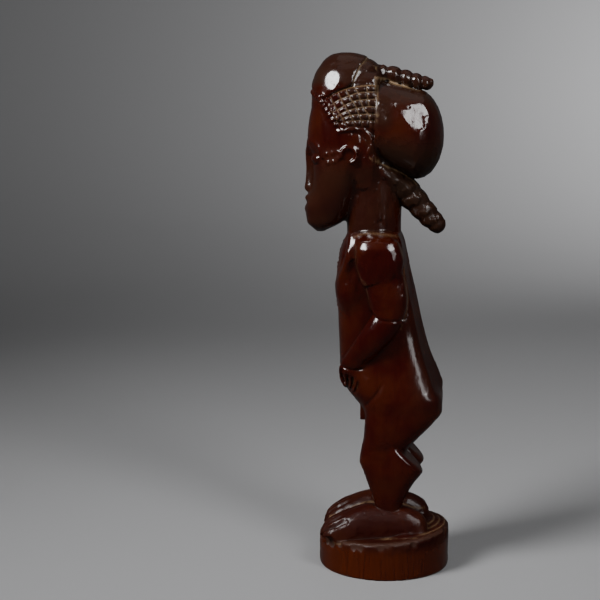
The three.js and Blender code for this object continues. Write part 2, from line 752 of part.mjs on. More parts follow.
function figure() {
  const wood = joined([
    base(),
    heelSteps(),
    onBothSides(foot()).subtract(toeGrooves()),
    onBothSides(leg()),
    onBothSides(calf()),
    torso(),
    onBothSides(breast()),
    scars(),
    loinTab(),
    yoke(),
    onBothShoulders(shoulderCap()),
    onBothShoulders(upperArm()),
    onBothShoulders(forearm()),
    fingers(),
    neck(),
    head(),
    crown(),
    onBothSides(sidePlaits()),
    browPlaits(),
    face(),
    onBothSides(ear()),
    templeMarks(),
    bun(),
    braid(TOP_BRAID, TOP_BRAID_LOBES, 0),
    braid(NAPE_BRAID, NAPE_BRAID_LOBES, NAPE_BRAID_PLAIN),
  ]);
  const { vertProperties, triVerts } = wood.getMesh();
  const geometry = new THREE.BufferGeometry();
  geometry.setAttribute('position', new THREE.BufferAttribute(vertProperties, 3));
  geometry.setIndex(new THREE.BufferAttribute(triVerts, 1));
  geometry.computeVertexNormals();
  return geometry;
}

const carving = new THREE.Mesh(figure(), new THREE.MeshStandardMaterial(WOOD));
carving.name = 'carved_figure';

const part = new THREE.Group();
part.add(carving);
export default part;
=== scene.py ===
# A carved and stained wooden figure on its own round base, with a plain studio stage.
# The wood is carved from a grid of distances, in millimetres, and its mesh is in metres.
import math

import bpy
import numpy as np
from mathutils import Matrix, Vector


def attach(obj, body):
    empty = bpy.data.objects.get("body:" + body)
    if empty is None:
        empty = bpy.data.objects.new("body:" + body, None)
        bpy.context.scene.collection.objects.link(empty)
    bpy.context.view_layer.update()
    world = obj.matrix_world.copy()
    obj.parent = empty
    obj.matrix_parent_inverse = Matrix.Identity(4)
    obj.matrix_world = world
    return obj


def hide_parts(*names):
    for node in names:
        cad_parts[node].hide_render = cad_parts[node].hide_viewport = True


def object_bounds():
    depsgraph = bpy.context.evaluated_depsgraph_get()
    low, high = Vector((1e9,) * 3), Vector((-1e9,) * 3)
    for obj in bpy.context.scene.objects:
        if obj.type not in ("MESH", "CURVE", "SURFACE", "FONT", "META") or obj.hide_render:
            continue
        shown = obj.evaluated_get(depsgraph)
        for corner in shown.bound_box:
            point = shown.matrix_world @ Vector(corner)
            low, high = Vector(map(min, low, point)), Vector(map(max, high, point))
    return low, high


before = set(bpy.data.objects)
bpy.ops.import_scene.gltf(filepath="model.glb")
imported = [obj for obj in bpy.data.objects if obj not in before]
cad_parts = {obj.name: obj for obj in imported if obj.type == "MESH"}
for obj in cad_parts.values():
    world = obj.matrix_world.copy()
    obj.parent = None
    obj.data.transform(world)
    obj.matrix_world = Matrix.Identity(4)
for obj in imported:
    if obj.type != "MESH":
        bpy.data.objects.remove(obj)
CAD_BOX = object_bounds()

import openvdb
from bpy.props import FloatProperty, FloatVectorProperty, IntProperty, PointerProperty
from mathutils import Euler

bl_info = {
    "name": "Carved Figure",
    "version": (1, 0, 0),
    "blender": (4, 5, 0),
    "location": "View3D > Sidebar > Figure",
    "description": "Builds a carved wooden figure and the stage it is shown on",
    "category": "Object",
}

PIECE_NAME = "carved_wood"
METRES = 0.001
X, Y, Z = range(3)


class Cuts:
    """Cuts through a form: where each is, and the form's edges there, eased between them."""

    def __init__(self, names, rows):
        self.names = names.split()
        self.values = {name: np.array([row[i] for row in rows], float) for i, name in enumerate(self.names)}
        self.spots = self.values["at"]

    def size(self, name, at):
        values = self.values[name]
        spots = self.spots
        spans = np.diff(spots)
        slopes = np.diff(values) / spans
        product = slopes[:-1] * slopes[1:]
        total = np.where(product > 0, slopes[:-1] + slopes[1:], 1.0)
        tangents = np.concatenate([slopes[:1], np.where(product > 0, 2 * product / total, 0.0), slopes[-1:]])
        at = np.clip(at, spots[0], spots[-1])
        i = np.clip(np.searchsorted(spots, at, side="right") - 1, 0, len(spots) - 2)
        span = spans[i]
        t = (at - spots[i]) / span
        rise = t * t * (3 - 2 * t)
        bend = (1 - t) * tangents[i] - t * tangents[i + 1]
        return mix(values[i], values[i + 1], rise) + span * t * (1 - t) * bend


def mix(a, b, share):
    return a + (b - a) * share


def eased(low, high, at):
    t = np.clip((at - low) / (high - low), 0, 1)
    return t * t * (3 - 2 * t)


# Base: a low drum whose top slopes up a little towards the heels
BASE_RADIUS = 51.0
BASE_FRONT_HEIGHT = 25.0
BASE_BACK_HEIGHT = 32.6
BASE_CHAMFER = 2.0
BASE_UNDER_IN = 0.2
UNDERSIDE_LEVEL = 0.25
HEEL_STEPS = 3
HEEL_STEP_WIDTH = 4.2
HEEL_STEP_HEIGHT = 1.7
HEEL_STEP_MIDDLE = 9.0
HEEL_STEP_REACH = 38.6
HEEL_STEP_RISE = (2, 24)
HEEL_STEP_BATTER = 1.03
HEEL_STEP_BEVEL = 0.6
CHIP_STEP = (4.5, 9.0)
CHIP_RADIUS = (4.5, 7.0)
CHIP_DEEP = (-0.2, 1.7)
CHIP_DROP = (0.8, 3.0)

# Feet: cuts across the foot, from the toes to the heel
FOOT_SIDE = 20.0
FOOT_SOLE = 20.0
FOOT_WIDE_LEVEL = 26.0
FOOT_POWER = 2.5
FOOT = Cuts("at top half", [
    (-49.4, 25, 4), (-48.3, 30, 9), (-45.8, 34.4, 13.8), (-38, 40.8, 16.8), (-25, 47.2, 16.8),
    (-10, 51.4, 15), (16, 50.4, 13.2), (29, 45.2, 11.8), (34.4, 38.4, 8.5), (35.6, 29, 6),
])
TOE_GAPS = (-0.5, 0.0, 0.42, 0.76)
TOE_LENGTH = 27.0
TOE_TIP = -52.0
TOE_WIDE_FROM = -45.8
TOE_GROOVE = {"width": 0.9, "depth": 3.2, "low": (4, -56, 20), "high": (42, -22, 50)}

# Legs: level cuts from the ankle to the seat, and the calf that juts out behind with a flat top
LEG_SIDE = 18.4
LEG_POWER = 2.7
LEG = Cuts("at front back half", [
    (34, -2.5, 13, 9.4), (44, -4.2, 13.4, 9.4), (63, -10, 17, 11.3), (78, -15.2, 19.4, 13.4),
    (87, -18.4, 16, 12.8), (95, -17.4, 18.2, 12.8), (105, -15.4, 26, 14.8), (117, -14.6, 37.4, 16.2),
    (128, -14, 44.8, 16.4), (136, -11, 44.2, 16), (144, -8, 38, 14.4), (156, -2, 26, 10),
])
CALF_POWER = 2.5
CALF = Cuts("at front back half", [
    (50, -2, 14, 8.8), (62, -2, 19.4, 10.8), (72, -1, 24.2, 12.8), (80, 0, 28, 14.4), (89, 0, 30.4, 15),
    (92, 1, 29.6, 14.2), (93.6, 2.6, 28, 12),
])
CALF_TOP_SLOPE = -0.9
CALF_TOP_MIDDLE = 16.5

# Torso: level cuts from the seat to the shoulders, with a furrow down the back
TORSO_POWER = 2.35
TORSO = Cuts("at front ridge back half furrow", [
    (114, -8, 28, 30, 24, 4), (125, -16.6, 36.4, 38.4, 31, 6), (135, -25, 40.8, 44.2, 34.6, 8),
    (145, -32.4, 37.6, 45, 33.4, 8), (152, -33.8, 35.2, 42.6, 32.2, 8), (160, -35, 32.6, 39.4, 30.8, 7),
    (166, -35.6, 30.6, 36.6, 29.6, 6.6), (176, -36, 27.6, 33, 28, 6), (192, -36.8, 23.8, 28.6, 26.4, 6),
    (206, -37.3, 20.8, 25.4, 26.4, 5.6), (222, -38, 17.6, 21.8, 28.4, 5), (242, -36.6, 14, 17, 30, 4),
    (256, -33.2, 12.4, 14, 30, 2), (263.5, -29.6, 9.6, 10.8, 26, 0.2),
])
RIDGE_IN = 5.5
SPINE_HALF = 5.5
FLANK_SHARE = 0.4
BREAST_AT = (13.4, -26, 221)
BREAST_RADII = (14, 12, 20)
CHEST_EDGE = [
    (20.5, -24.6, 264, 2.6, 2.6), (24, -25.2, 255, 3, 3), (26.4, -26, 247.5, 3, 3), (25.4, -28, 241, 3, 3),
    (23.4, -30, 234, 3, 3), (19.4, -32, 226, 2.6, 2.6),
]
LOIN_TAB_LOW = (-4.5, -19.4, 115)
LOIN_TAB_HIGH = (4.5, -8, 130)

# Yoke: the bar of the shoulders, in upright cuts from the middle out to the side
YOKE_POWER = 2.6
YOKE = Cuts("at front back low high", [
    (0, -27, 11, 236, 265), (20, -25, 11, 236, 265), (31, -20.6, 11.2, 236, 263.4),
    (38, -18, 10, 238, 260.5), (42.4, -14, 6, 243, 255),
])

# Arms: a shoulder cap, an upper arm, and a forearm that crosses to the hand on the belly
RIGHT_ARM_FORWARD = 2.5
SHOULDER_SIDE = 33.0
SHOULDER_POWER = 2.8
SHOULDER_HEM_SLOPE = 0.24
SHOULDER_CAP = Cuts("at front back half", [
    (229, -16.5, 13, 8.5), (235, -18.8, 13.6, 9.8), (243, -20.8, 14.6, 10.6),
    (252, -21.4, 13, 10.4), (259, -19.6, 10, 7.6),
])
UPPER_ARM_SIDE = 32.0
UPPER_ARM_POWER = 2.5
UPPER_ARM = Cuts("at front back half", [
    (197, -6.5, 13.6, 8), (203, -8.4, 16, 8.9), (214, -11.2, 17.9, 9.4), (226, -14.4, 16.6, 9.2),
    (236, -17, 14, 8.8),
])
FOREARM = [
    (32, 4, 202, 11.4, 8.4), (32.6, -3.6, 190, 11.3, 8.6), (30, -13, 178, 10.2, 7.6),
    (25, -20.6, 167.5, 9, 6.2), (20, -25.4, 158, 9.4, 6), (17, -26.5, 150, 7, 4.6),
]
ARM_LINES = (
    ([(-10.4, 205.6, 0.6), (-3.8, 200.8), (2.2, 199.4), (13, 199.4), (16, 200, 0.4)], 0.8, 1.2),
    ([(-33, 162, 0.5), (-31.6, 161.1), (-24.6, 158.9), (-18.5, 159.9), (-13.9, 160.7, 0.3)], 0.9, 1.4),
    ([(-32.4, 158.6, 0.8), (-31.8, 151.4), (-31, 146, 0.6)], 0.9, 2.6),
    ([(-28.2, 154.4, 0.8), (-28, 148), (-28.8, 142, 0.6)], 0.9, 2.8),
    ([(-23.4, 152.4, 0.8), (-24.2, 147), (-26.2, 140.6, 0.6)], 0.9, 2.8),
    ([(-19.4, 149.6, 0.8), (-20.6, 145), (-23, 139.4, 0.5)], 0.9, 2.6),
)
# Pale lines along the front and back edges of the arm, in dust colour: partly dust, partly a painted
# highlight on the edges
ARM_FRONT_DUST_AND_HIGHLIGHT = [
    (-22.4, 259.6, 0.4), (-21.6, 250), (-21, 241.5), (-17.6, 232), (-14.4, 228.2), (-12, 217.5),
    (-9.6, 205.4, 0.6),
]
ARM_BACK_DUST_AND_HIGHLIGHT = [
    (9.6, 259.6, 0.3), (13.3, 250.6), (15.6, 242.8), (14.6, 235.5), (17.2, 220.4), (17.6, 210), (15.2, 199),
    (12.2, 189.8, 0.4),
]
LEFT_ARM_BOX = {"low": (6, -40, 140), "high": (46, 20, 216)}
RIGHT_ARM_BOX = {"low": (-46, -42, 138), "high": (-6, 18, 216)}
GROIN = [(-1, 149.4, 0.3), (-3.9, 143.4), (-8.7, 137), (-13.4, 131.4, 0.6)]
GROIN_GROOVE = {"width": 1.0, "depth": 1.2, "low": (8, -24, 126), "high": (40, 4, 154)}
FINGER_COUNT = 4
FINGER_FIRST_ANGLE = -74.0
FINGER_LAST_ANGLE = -40.0
FINGER_TIP_STEP = 0.8
BELLY_HALF = 30.0
BELLY_DEEP = 34.2
FINGER = [(141, 1, 0.86, 1.2), (145, 1, 0.93, 2.6), (151.6, 1.04, 1, 2.6), (160, 1.08, 0.9, 1.7)]

# Neck and head: level cuts from the chin to the hairline, tipped up behind above the brow
NECK_Y = -9.8
NECK_HALF = 18.6
NECK_DEEP = 20.8
NECK_LOW = 250.0
NECK_HIGH = 321.0
HEAD_POWER = 2.25
HEAD = Cuts("at front back wide half", [
    (263.3, -53.5, -49, -51, 3), (266, -57.4, -43, -50, 8.5), (271, -61.6, -34, -46, 13),
    (280, -62, -27, -42, 16.8), (292, -59, -22, -38, 20.6), (308, -57.2, -17, -34, 24),
    (321, -58, -10, -31, 25.6), (333, -61.4, -5, -30, 26.2), (350, -60.2, -3, -29, 26.2),
    (366, -57.2, -3, -29, 25.4), (378, -54.2, -3, -30, 22),
])
HEAD_MIDDLE = -30.0
HAIR_BACK_POWER = 5.0
HAIR_BACK = Cuts("at front back half", [
    (298, -22, -8, 19), (308, -26, -6, 22), (318, -30, -5, 24.6), (330, -32, -5, 25.6),
    (350, -32, -5, 25.8),
    (366, -32, -5, 25.4), (378, -30, -5, 23.4), (384, -26, -5, 19),
])
MUZZLE_AT = (0, -53, 283)
MUZZLE_RADII = (13, 9, 15)
HAIR_TIP_SLOPE = 0.12
HAIR_TIP_FROM = 335.0
HAIR_TIP_TO = 366.0

# Crown: the smooth dome above the plaited hair, and the lower strip behind it
CROWN_POWER = 2.2
CROWN = Cuts("at front back half wide", [
    (360, -58.4, -3, 25.4, -31), (368.5, -58, -3, 25.4, -31), (377, -56.6, -3, 24.4, -31),
    (385, -54.2, -4.4, 21.4, -31), (391.5, -50.2, -10, 16.8, -31), (396.5, -44.8, -20, 10.8, -31),
    (398.6, -40.6, -27, 6, -31), (399.5, -36, -33, 1.4, -34),
])
CROWN_TIP_SLOPE = 0.06
CROWN_STEP = 1.3
CROWN_STEP_SPAN = 24.0
CROWN_TOP = 399.68
CROWN_MARGIN = 4.0
CROWN_BLEND = 0.2
CROWN_EDGE_SPOTS = 40
CROWN_TOP_FROM = 390.0
CROWN_EDGE = [(-25.2, 375.4), (-24.4, 378), (-22.8, 382.4), (-20, 389), (-16.2, 394.4), (-14, 404)]
CROWN_HEM = [(-80, 376), (-58, 375.6), (-51.6, 371), (-45.6, 364.8), (-36, 370.4), (-28.5, 373.2)]
CROWN_CUTTER = (-80, 413)
CROWN_EDGE_GROOVE = {"width": 0.6, "depth": 0.3, "low": (0, -34, 374), "high": (32, -8, 400)}
CROWN_HEM_GROOVE = {"width": 0.8, "depth": 1.6, "low": (10, -48, 360), "high": (32, -24, 380)}

# Plaited hair: raised blocks between crossing grooves, on each side of the head and over the brow
PLAIT_HEIGHT = 1.7
PLAIT_FLOOR = 0.3
PLAIT_VALLEY = 0.15
PLAITED_LEVELS = (336, 378)
PLAITED_BACK = -5.0
PLAITED_SIDE = 9.0
PLAITED_EDGE = (1.2, 0.2)
PLAIT_BOX = {"low": (8, -56, 338), "high": (34, -5, 380)}
PLAIT_ROWS = (
    [(-46.2, 366.2), (-43.4, 366.6), (-35.9, 370), (-28.5, 372.5),
     (-21, 373.8), (-13.6, 374.6), (-6.2, 374.4)],
    [(-48.8, 357.4), (-41, 360.2), (-37.3, 363), (-32.1, 365.4),
     (-27.6, 367), (-20.9, 369.2), (-6.2, 370.2)],
    [(-45.8, 352.6), (-39, 355.4), (-34.3, 358), (-30.6, 360.2),
     (-26.8, 361.8), (-20.9, 363.8), (-6.2, 364.8)],
    [(-42.6, 348.8), (-37.3, 351.2), (-33.5, 353.8),
     (-28.3, 356.3), (-22.3, 357.8), (-14.9, 359), (-6.2, 358.9)],
    [(-39.6, 345.6), (-34.6, 349), (-30, 351.6), (-25.3, 352.8),
     (-20.8, 353.2), (-13.4, 353.6), (-6.2, 353.2)],
    [(-37.4, 343.2), (-32.8, 347.2), (-27.5, 348.4), (-20.8, 348.8), (-11.8, 348.8), (-6.2, 348.6)],
    [(-32.4, 342.4), (-29, 343.8), (-26, 344.4), (-20.8, 344.4), (-13, 343), (-6.2, 339)],
)
PLAIT_COLUMNS = (
    [(-46.2, 366.2), (-43.8, 361), (-41, 356), (-38, 351.6), (-35, 347), (-32.4, 342.4)],
    [(-42, 367.2), (-39.2, 361.4), (-36.2, 356.2), (-33.2, 351.6), (-30.4, 347), (-28.4, 343.6)],
    [(-36, 370), (-32.8, 362.8), (-30.6, 359.4), (-28.7, 356.4), (-26.8, 353.4), (-24.6, 349), (-23, 344)],
    [(-30.4, 372.2), (-27.6, 367.4), (-25.6, 363.8),
     (-23.1, 360.6), (-20.8, 355.2), (-19, 350), (-17.6, 344)],
    [(-24.2, 373.6), (-20.9, 369.6), (-19.8, 365.4),
     (-17.9, 360.6), (-15.6, 356.6), (-13, 353), (-12, 344)],
    [(-14.6, 374.4), (-14.2, 369.8), (-13.8, 365.4), (-13.2, 361.6), (-12.8, 359)],
    [(-6.4, 374.4), (-6.4, 360), (-6.4, 348)],
)
HAIR_HEM = [
    (-35.6, 340.4, 1.2), (-30, 341.6, 1.2), (-25.4, 342.4, 1), (-20.9, 342.2, 1), (-17, 341.4, 1),
    (-13.8, 339.2, 1), (-11.8, 336, 1), (-10.7, 332, 1), (-11, 328, 1), (-12.5, 324.6, 0.4),
]
HAIR_HEM_INNER = [
    (-32, 338.6, 0.3), (-26, 339.6), (-20, 339), (-16, 336.6), (-14, 332), (-14.4, 327.6, 0.3),
]
HAIR_HEM_RIDGE = {"width": 1.4, "depth": -1.3, "low": (16, -40, 318), "high": (34, -5, 348)}
HAIR_HEM_GROOVE = {"width": 0.8, "depth": 0.7, "low": (16, -40, 318), "high": (34, -5, 348)}
BROW_ROWS = 2
BROW_SPOTS = 31
BROW_SPAN = 21.0
BROW_TOP = 374.4
BROW_ROW_STEP = 4.2
BROW_DROP = 7.6
BROW_PITCH = 3.5
BROW_RADIUS = 1.8
HAIRLINES = (
    [(-50.4, 365.6), (-48.6, 362), (-46.8, 358.8), (-44.8, 356.2),
     (-42.4, 352.8), (-40.2, 349.6), (-37.6, 345.6)],
    [(-48, 367), (-45.4, 363.8), (-43, 360.4), (-40.9, 357), (-38.5, 353.6), (-36, 350.2)],
)

# Face: a long nose, half shut eyes under arched brows, small lips, and marks at the temple
NOSE_ROOT = -55.5
NOSE_ROOT_DEPTH = 2.0
NOSE = Cuts("at ridge half", [
    (293.2, -60.4, 3.4), (294.4, -62.6, 4.6), (296.8, -63.8, 4.8), (301, -63.2, 3.8), (312, -62.6, 2.7),
    (323, -63.2, 2.6), (333, -61.8, 2.2),
])
LIPS = (((0, -60.2, 289.2), (7.2, 3.2, 2.5)), ((0, -60.4, 280.8), (6.4, 3.1, 3.1)))
MOUTH = [(-7.5, 284.2, 0.2), (-4, 284.9, 1), (0, 285.1, 1), (4, 284.9, 1), (7.5, 284.2, 0.2)]
MOUTH_GROOVE = {"width": 0.6, "depth": 0.9, "low": (-10, -66, 280), "high": (10, -54, 290)}
EYE_AT = (13.4, -53.6, 319.4)
EYE_RADII = (7, 3.2, 4.0)
EYE_TURN = 28.0
EYE_SLIT = [(6.5, 318.6, 0.3), (10, 317.6, 1), (14, 317.4, 1), (18, 318.4, 1), (20.4, 320, 0.3)]
EYE_EDGE_RADII = (7.6, 4.8)
EYE_SLIT_GROOVE = {"width": 0.55, "depth": 0.8, "low": (4, -62, 312), "high": (23, -44, 326)}
EYE_EDGE_GROOVE = {"width": 0.6, "depth": 0.6, "low": (3, -62, 312), "high": (24, -42, 327)}
BROW = [
    (1.6, -60.6, 323, 1.8, 1.7), (7, -59.6, 330.5, 1.7, 1.6), (14, -55.8, 333, 1.4, 1.4),
    (20, -51, 328.5, 1.1, 1.3), (22.4, -48, 320, 0.7, 0.9),
]
EAR_SIDE = 26.2
EAR_Y = -27.5
EAR_Z = 323.0
EAR_RADIUS = 5.8
EAR_RIM = 1.6
EAR_HOLLOW = 1.1
TEMPLE_LINES = (
    [(-44.4, 323.6), (-40, 324.4), (-35.6, 325.4)],
    [(-43.4, 317), (-39.4, 317.6), (-35, 320.4)],
)
SCAR_LINES = (
    [(0, 256), (0, 244), (0, 232)],
    [(1.6, 229), (4.5, 219), (9, 208.6), (13.5, 202.6), (18.5, 199)],
)

# Strings of beads: the side each is set from, its lines and their spots, its pitch, radius and fillet
STRINGS = (
    ("left", HAIRLINES, 30, 3.9, 2.05, 0.2),
    ("front", SCAR_LINES, 30, 3.2, 1.35, 0.4),
    ("left", TEMPLE_LINES, 12, 3.8, 1.3, 1.6),
)

# Bun: a great round knob behind the head, cut off flat in front and swelling to a round back
BUN_POWER = 2.2
BUN_STRAIGHT_SHARE = 0.45
BUN_FRONT = {"y": -8.0, "middle": 349.4, "tall": 29.6, "half": 30.5}
BUN_FULL = {"y": 22.0, "middle": 338.0, "tall": 33.6, "half": 33.5}
BUN_BACK = {"y": 42.8, "middle": 336.6}

# Broad flats left by the blade: a place near each, the way it faces, how deep it is and how far it reaches
FLATS = (
    ((29, 27, 349), (0.90, 0.24, 0.34), 1.8, 20),
    ((22, -38, 380), (0.895, -0.30, 0.33), 0.6, 20),
)

# Braids: one lies along the top of the bun, the other hangs from the nape
TOP_BRAID = [
    (0, -10, 384.6, 6.8, 7.2), (0, 4, 382, 7.2, 7.6), (0, 16, 378.8, 6.8, 7.2), (0, 26, 376.6, 5.8, 6.2),
    (0, 34.4, 376.6, 3.8, 4.2),
]
NAPE_BRAID = [
    (0, -14, 319, 9, 22), (0, -4, 310.5, 10, 20.5), (0, 5, 303.4, 10.4, 17), (0, 14.4, 295.2, 10.6, 12.6),
    (0, 24.8, 284.2, 9.3, 10), (0, 34, 273.9, 8.2, 8.8), (0, 40.4, 267.6, 6.2, 6.8),
    (0, 43.6, 264.9, 3.4, 3.6),
]
LUMP_POWER = 0.55
LUMP_START = 0.06
LUMP_END = 0.1
TOP_BRAID_LUMPS = {"lobes": 5.2, "start": 0.1, "plain": -1, "end": 1, "depth": 0.34, "lean": 0.12}
NAPE_BRAID_LUMPS = {"lobes": 9.3, "start": 0.657, "plain": 0.4, "end": 0.76, "depth": 0.14, "lean": -0.25}

# Facets of the blade: how they are laid, and how strongly they show on each part of the figure
FACET_BLUR = 6
FACET_DENSITY = 1.4
FACET_LIMIT = 0.0005
SWAY_SCALE = 60.0
HEWN_ABOVE = 0.75
HEWN_BELOW = 0.25
HEWN_WAIST = (225, 205)
HEWN_OFF_PLAITS = 0.95
HEWN_OFF_FLOOR = (0.3, 3)
HEWN_FEET = (0.5, (Z, 58, 48))
HEWN_REGIONS = (
    (0.12, (Z, 250, 256), (Z, 272, 266), (Y, -34, -28)),
    (0.35, (Z, 372, 378), (Y, -4, -8)),
    (0.2, (Z, 262, 270), (Y, -20, -32), (Z, 372, 362)),
)

# Smoky stain and grime: a strength, and the steps over which it comes in along each direction. The smoky
# colour is partly painted light: a painted sheen on the crown and the hair, and painted bounce light on the
# nape and under the bun.
CROWN_SMOKE_AND_SHEEN = 0.75
CROWN_SMOKE_AND_SHEEN_FROM = (373, 378)
HAIR_SMOKE_AND_SHEEN = (1.0, (Y, -36, -26), (Z, 336, 350))
BUN_CLEARING = (0.8, (Y, 0, 8), (Z, 368, 354))
NAPE_SMOKE_AND_BOUNCE_FROM = (346, 318)
NAPE_SMOKE_AND_BOUNCE_EDGE = (-9, 3)
NAPE_SMOKE_AND_BOUNCE_END = (250, 258)
NAPE_LEVEL = 310.0
NAPE_LEAN = 0.45
NECK_SMOKE = (0.55, (Y, 12, -4), (Z, 258, 268), (Z, 328, 306))
SPINE_SMOKE = (0.4, (Y, 14, 30), (Z, 120, 150), (Z, 262, 250))
FOOT_SMOKE = (0.25, (Z, 58, 44), (Z, 18, 25))
FOOT_GRIME = (0.85, (Z, 62, 48), (Z, 20, 25))
NAPE_GRIME = 0.6
HAIR_GRIME = 0.45
TEMPLE_GRIME = (0.6, (Z, 310, 314), (Z, 330, 326), (Y, -50, -47), (Y, -30, -33))

# Patterns in the wood: how fine each is, how the grain is drawn out, and the steps by which each shows
GRAIN_SCALE = 420.0
FINE_GRAIN_SCALE = 1500.0
PATCH_SCALE = 38.0
SPECK_SCALE = 650.0
GRAIN_STRETCH = (1.0, 1.0, 0.09)
NOISE_ROUGHNESS = 0.55
PATCH_STEP = (0.34, 0.68)
SPECK_STEP = (0.4, 0.75)
BASE_SIDE_STEP = (0.027, 0.018)
BUMP_HEIGHT = 0.0003
GRIME_ROUGHNESS = 0.5
GRIME_SHINE = 0.1
WOOD_IOR = 1.5

# Edges and hollows: how far the grid of distances is blurred to find them, and how far they reach. The
# hollows and the gaps between the toes are darkened with painted shade.
EDGE_BLUR = 1.0
HOLLOW_SHADE_BLUR = 2.4
BLUR_LIMIT = 4.0
EDGE_STEP = (0.3, 0.7)
HOLLOW_SHADE_STEP = (0.15, 1.0)
DIRT_STEP = (0.5, 1.0)
DIRT_STRENGTH = 0.5
TOE_GAP_SHADE_WIDTH = 0.8
TOE_GAP_SHADE_TOP = 56.0

# Bare wood where the rim is chipped, by how far in and how far below the rim it lies
CHIP_START = (0.1, 0.4)
CHIP_SOFT = 0.4
CHIP_INNER = (5, 4)
CHIP_OVER = (-0.6, 0)
CHIP_UNDER = (11, 9)

# Dust and painted highlights: each line, its half width, its strength and the box that holds it, the same on
# either side. The pale lines along the neckline, the arm's edges and the bun's top edge under the braid are
# partly painted highlights.
BUN_FRONT_EDGE = [(-8, 379.5), (-7.9, 374), (-7.8, 366, 0.3), (-7.8, 356, 0.1)]
# Pale band where the braid sits on the bun: worn and dusty, and partly a painted highlight on the bun's top
# edge
TOP_BRAID_WEAR_AND_HIGHLIGHT = [(-8.6, 380.4), (-2, 379.4), (5, 376.4), (12, 374.4, 0.9), (24, 371.4, 0.5)]
TOP_BRAID_TIP = [(-9, 388), (-8.6, 379)]
# Pale line on the shoulders' top edge: partly dust, partly a painted highlight
NECKLINE_DUST_AND_HIGHLIGHT = [(-25.2, 260.6, 0.5), (-14.3, 264.2), (0.8, 263.6), (10.6, 261.6, 0.6)]
SOLE_EDGE = [(-38, 23.4, 0.4), (-16.5, 25.9), (4.3, 28.8), (26.4, 30.7, 0.4)]
INNER_FOOT_EDGE = [(-44, 32), (-33, 36.6), (-22.6, 41.9), (-14.7, 44.4), (-6.8, 44.7)]
INNER_HEEL_EDGE = [(15, 43.6), (23.8, 40.8), (36.4, 40.3, 0.4)]
NAPE_EDGE = [(-11.7, 320.6, 0.6), (-0.3, 314.7), (10.7, 309.4), (20.2, 303.2), (23.3, 299.5, 0.4)]
DUST_AND_HIGHLIGHT_LINES = (
    (CROWN_EDGE, 0.45, 0.6, (0, -34, 374), (32, -8, 400)),
    (BUN_FRONT_EDGE, 1.1, 0.4, (20, -9, 350), (34, -5, 382)),
    (TOP_BRAID_WEAR_AND_HIGHLIGHT, 0.9, 0.9, (5, -9, 364), (34, 28, 384)),
    (TOP_BRAID_TIP, 1.0, 0.7, (0, -10, 378), (12, -6, 394)),
    (NECKLINE_DUST_AND_HIGHLIGHT, 0.8, 0.22, (14, -28, 256), (40, 14, 268)),
    (ARM_FRONT_DUST_AND_HIGHLIGHT, 0.45, 0.15, (20, -30, 200), (48, 0, 262)),
    (ARM_BACK_DUST_AND_HIGHLIGHT, 0.45, 0.2, (20, 0, 186), (48, 22, 262)),
    (SOLE_EDGE, 0.4, 0.8, (31, -40, 20), (39, 30, 34)),
    (INNER_FOOT_EDGE, 0.6, 0.6, (0, -48, 28), (14, 0, 48)),
    (INNER_HEEL_EDGE, 0.6, 0.5, (0, 12, 34), (14, 38, 48)),
    (NAPE_EDGE, 0.5, 0.5, (2, -14, 296), (30, 26, 324)),
)
PLAIT_DUST = (0.42, 0.45, (9, -54, 338), (34, -5, 378), ((Y, -46, -36), (Z, 343, 354)))
STEP_DUST = (0.4, (Y, 24, 34), (Z, 24, 26))
STEP_DUST_OUT = 0.4
STEP_DUST_WIDTH = 0.5
STEP_DUST_HIGH = 6.0

# Lights: a name, the place, the place it faces, its width and height in metres, and its spread in degrees
LIGHTS = (
    ("key", (0.78, -0.9, 1.15), (-0.1, 0.15, 0.2), (0.5, 0.7), 70),
    ("side", (0.9, 0.7, 1.14), (0, 0, 0.25), (0.4, 0.55), 180),
    ("low", (1.0, 0.78, 0.6), (0, 0, 0.15), (0.36, 0.45), 180),
    ("back", (-1.3, 0.1, 1.1), (0, 0, 0.25), (1.0, 1.0), 180),
    ("top", (-0.2, 0.3, 2.3), (-0.2, 0.3, 0), (2.0, 2.0), 180),
    ("wall", (-1.9, 1.3, 1.3), (-3.0, 0.5, 0.4), (0.6, 0.6), 130),
)
NO_GLINT_LIGHTS = ("back", "wall")
FLOOR_SIDES = 96
COVE_STEPS = 16
CAMERA_AT = (1.0647, 0.0539, 0.366)
CAMERA_TURN = (81.65, 0.0, 96.5)
CAMERA_LENS = 82.92


# Closed forms. Each is its points and its four-sided faces, with a fan of faces at each end.

def ring_form(rows, sides, place):
    """A closed skin whose points are place(share of height, angle)."""
    share, angle = np.meshgrid(np.linspace(0, 1, rows), np.arange(sides) * 2 * np.pi / sides, indexing="ij")
    rings = np.stack(np.broadcast_arrays(*place(share, angle)), axis=-1)
    ends = np.stack([rings[0].mean(axis=0), rings[-1].mean(axis=0)])
    points = np.concatenate([rings.reshape(-1, 3), ends])
    row, side = np.meshgrid(np.arange(rows - 1), np.arange(sides), indexing="ij")
    here = row * sides + side
    after = row * sides + (side + 1) % sides
    quads = np.stack([here, after, after + sides, here + sides], axis=-1).reshape(-1, 4)
    around = np.arange(sides)
    ahead = (around + 1) % sides
    low = np.stack([np.full(sides, rows * sides), ahead, around], axis=-1)
    last = (rows - 1) * sides
    high = np.stack([np.full(sides, rows * sides + 1), last + around, last + ahead], axis=-1)
    return points, quads, np.concatenate([low, high])


def rounded(value, power):
    return np.sign(value) * np.abs(value) ** (2 / power)


def outline(angle, front, back, wide, half, power):
    """A point of a rounded outline with unlike front and back."""
    deep = rounded(np.sin(angle), power)
    return half * rounded(np.cos(angle), power), wide + deep * np.where(deep < 0, wide - front, back - wide)


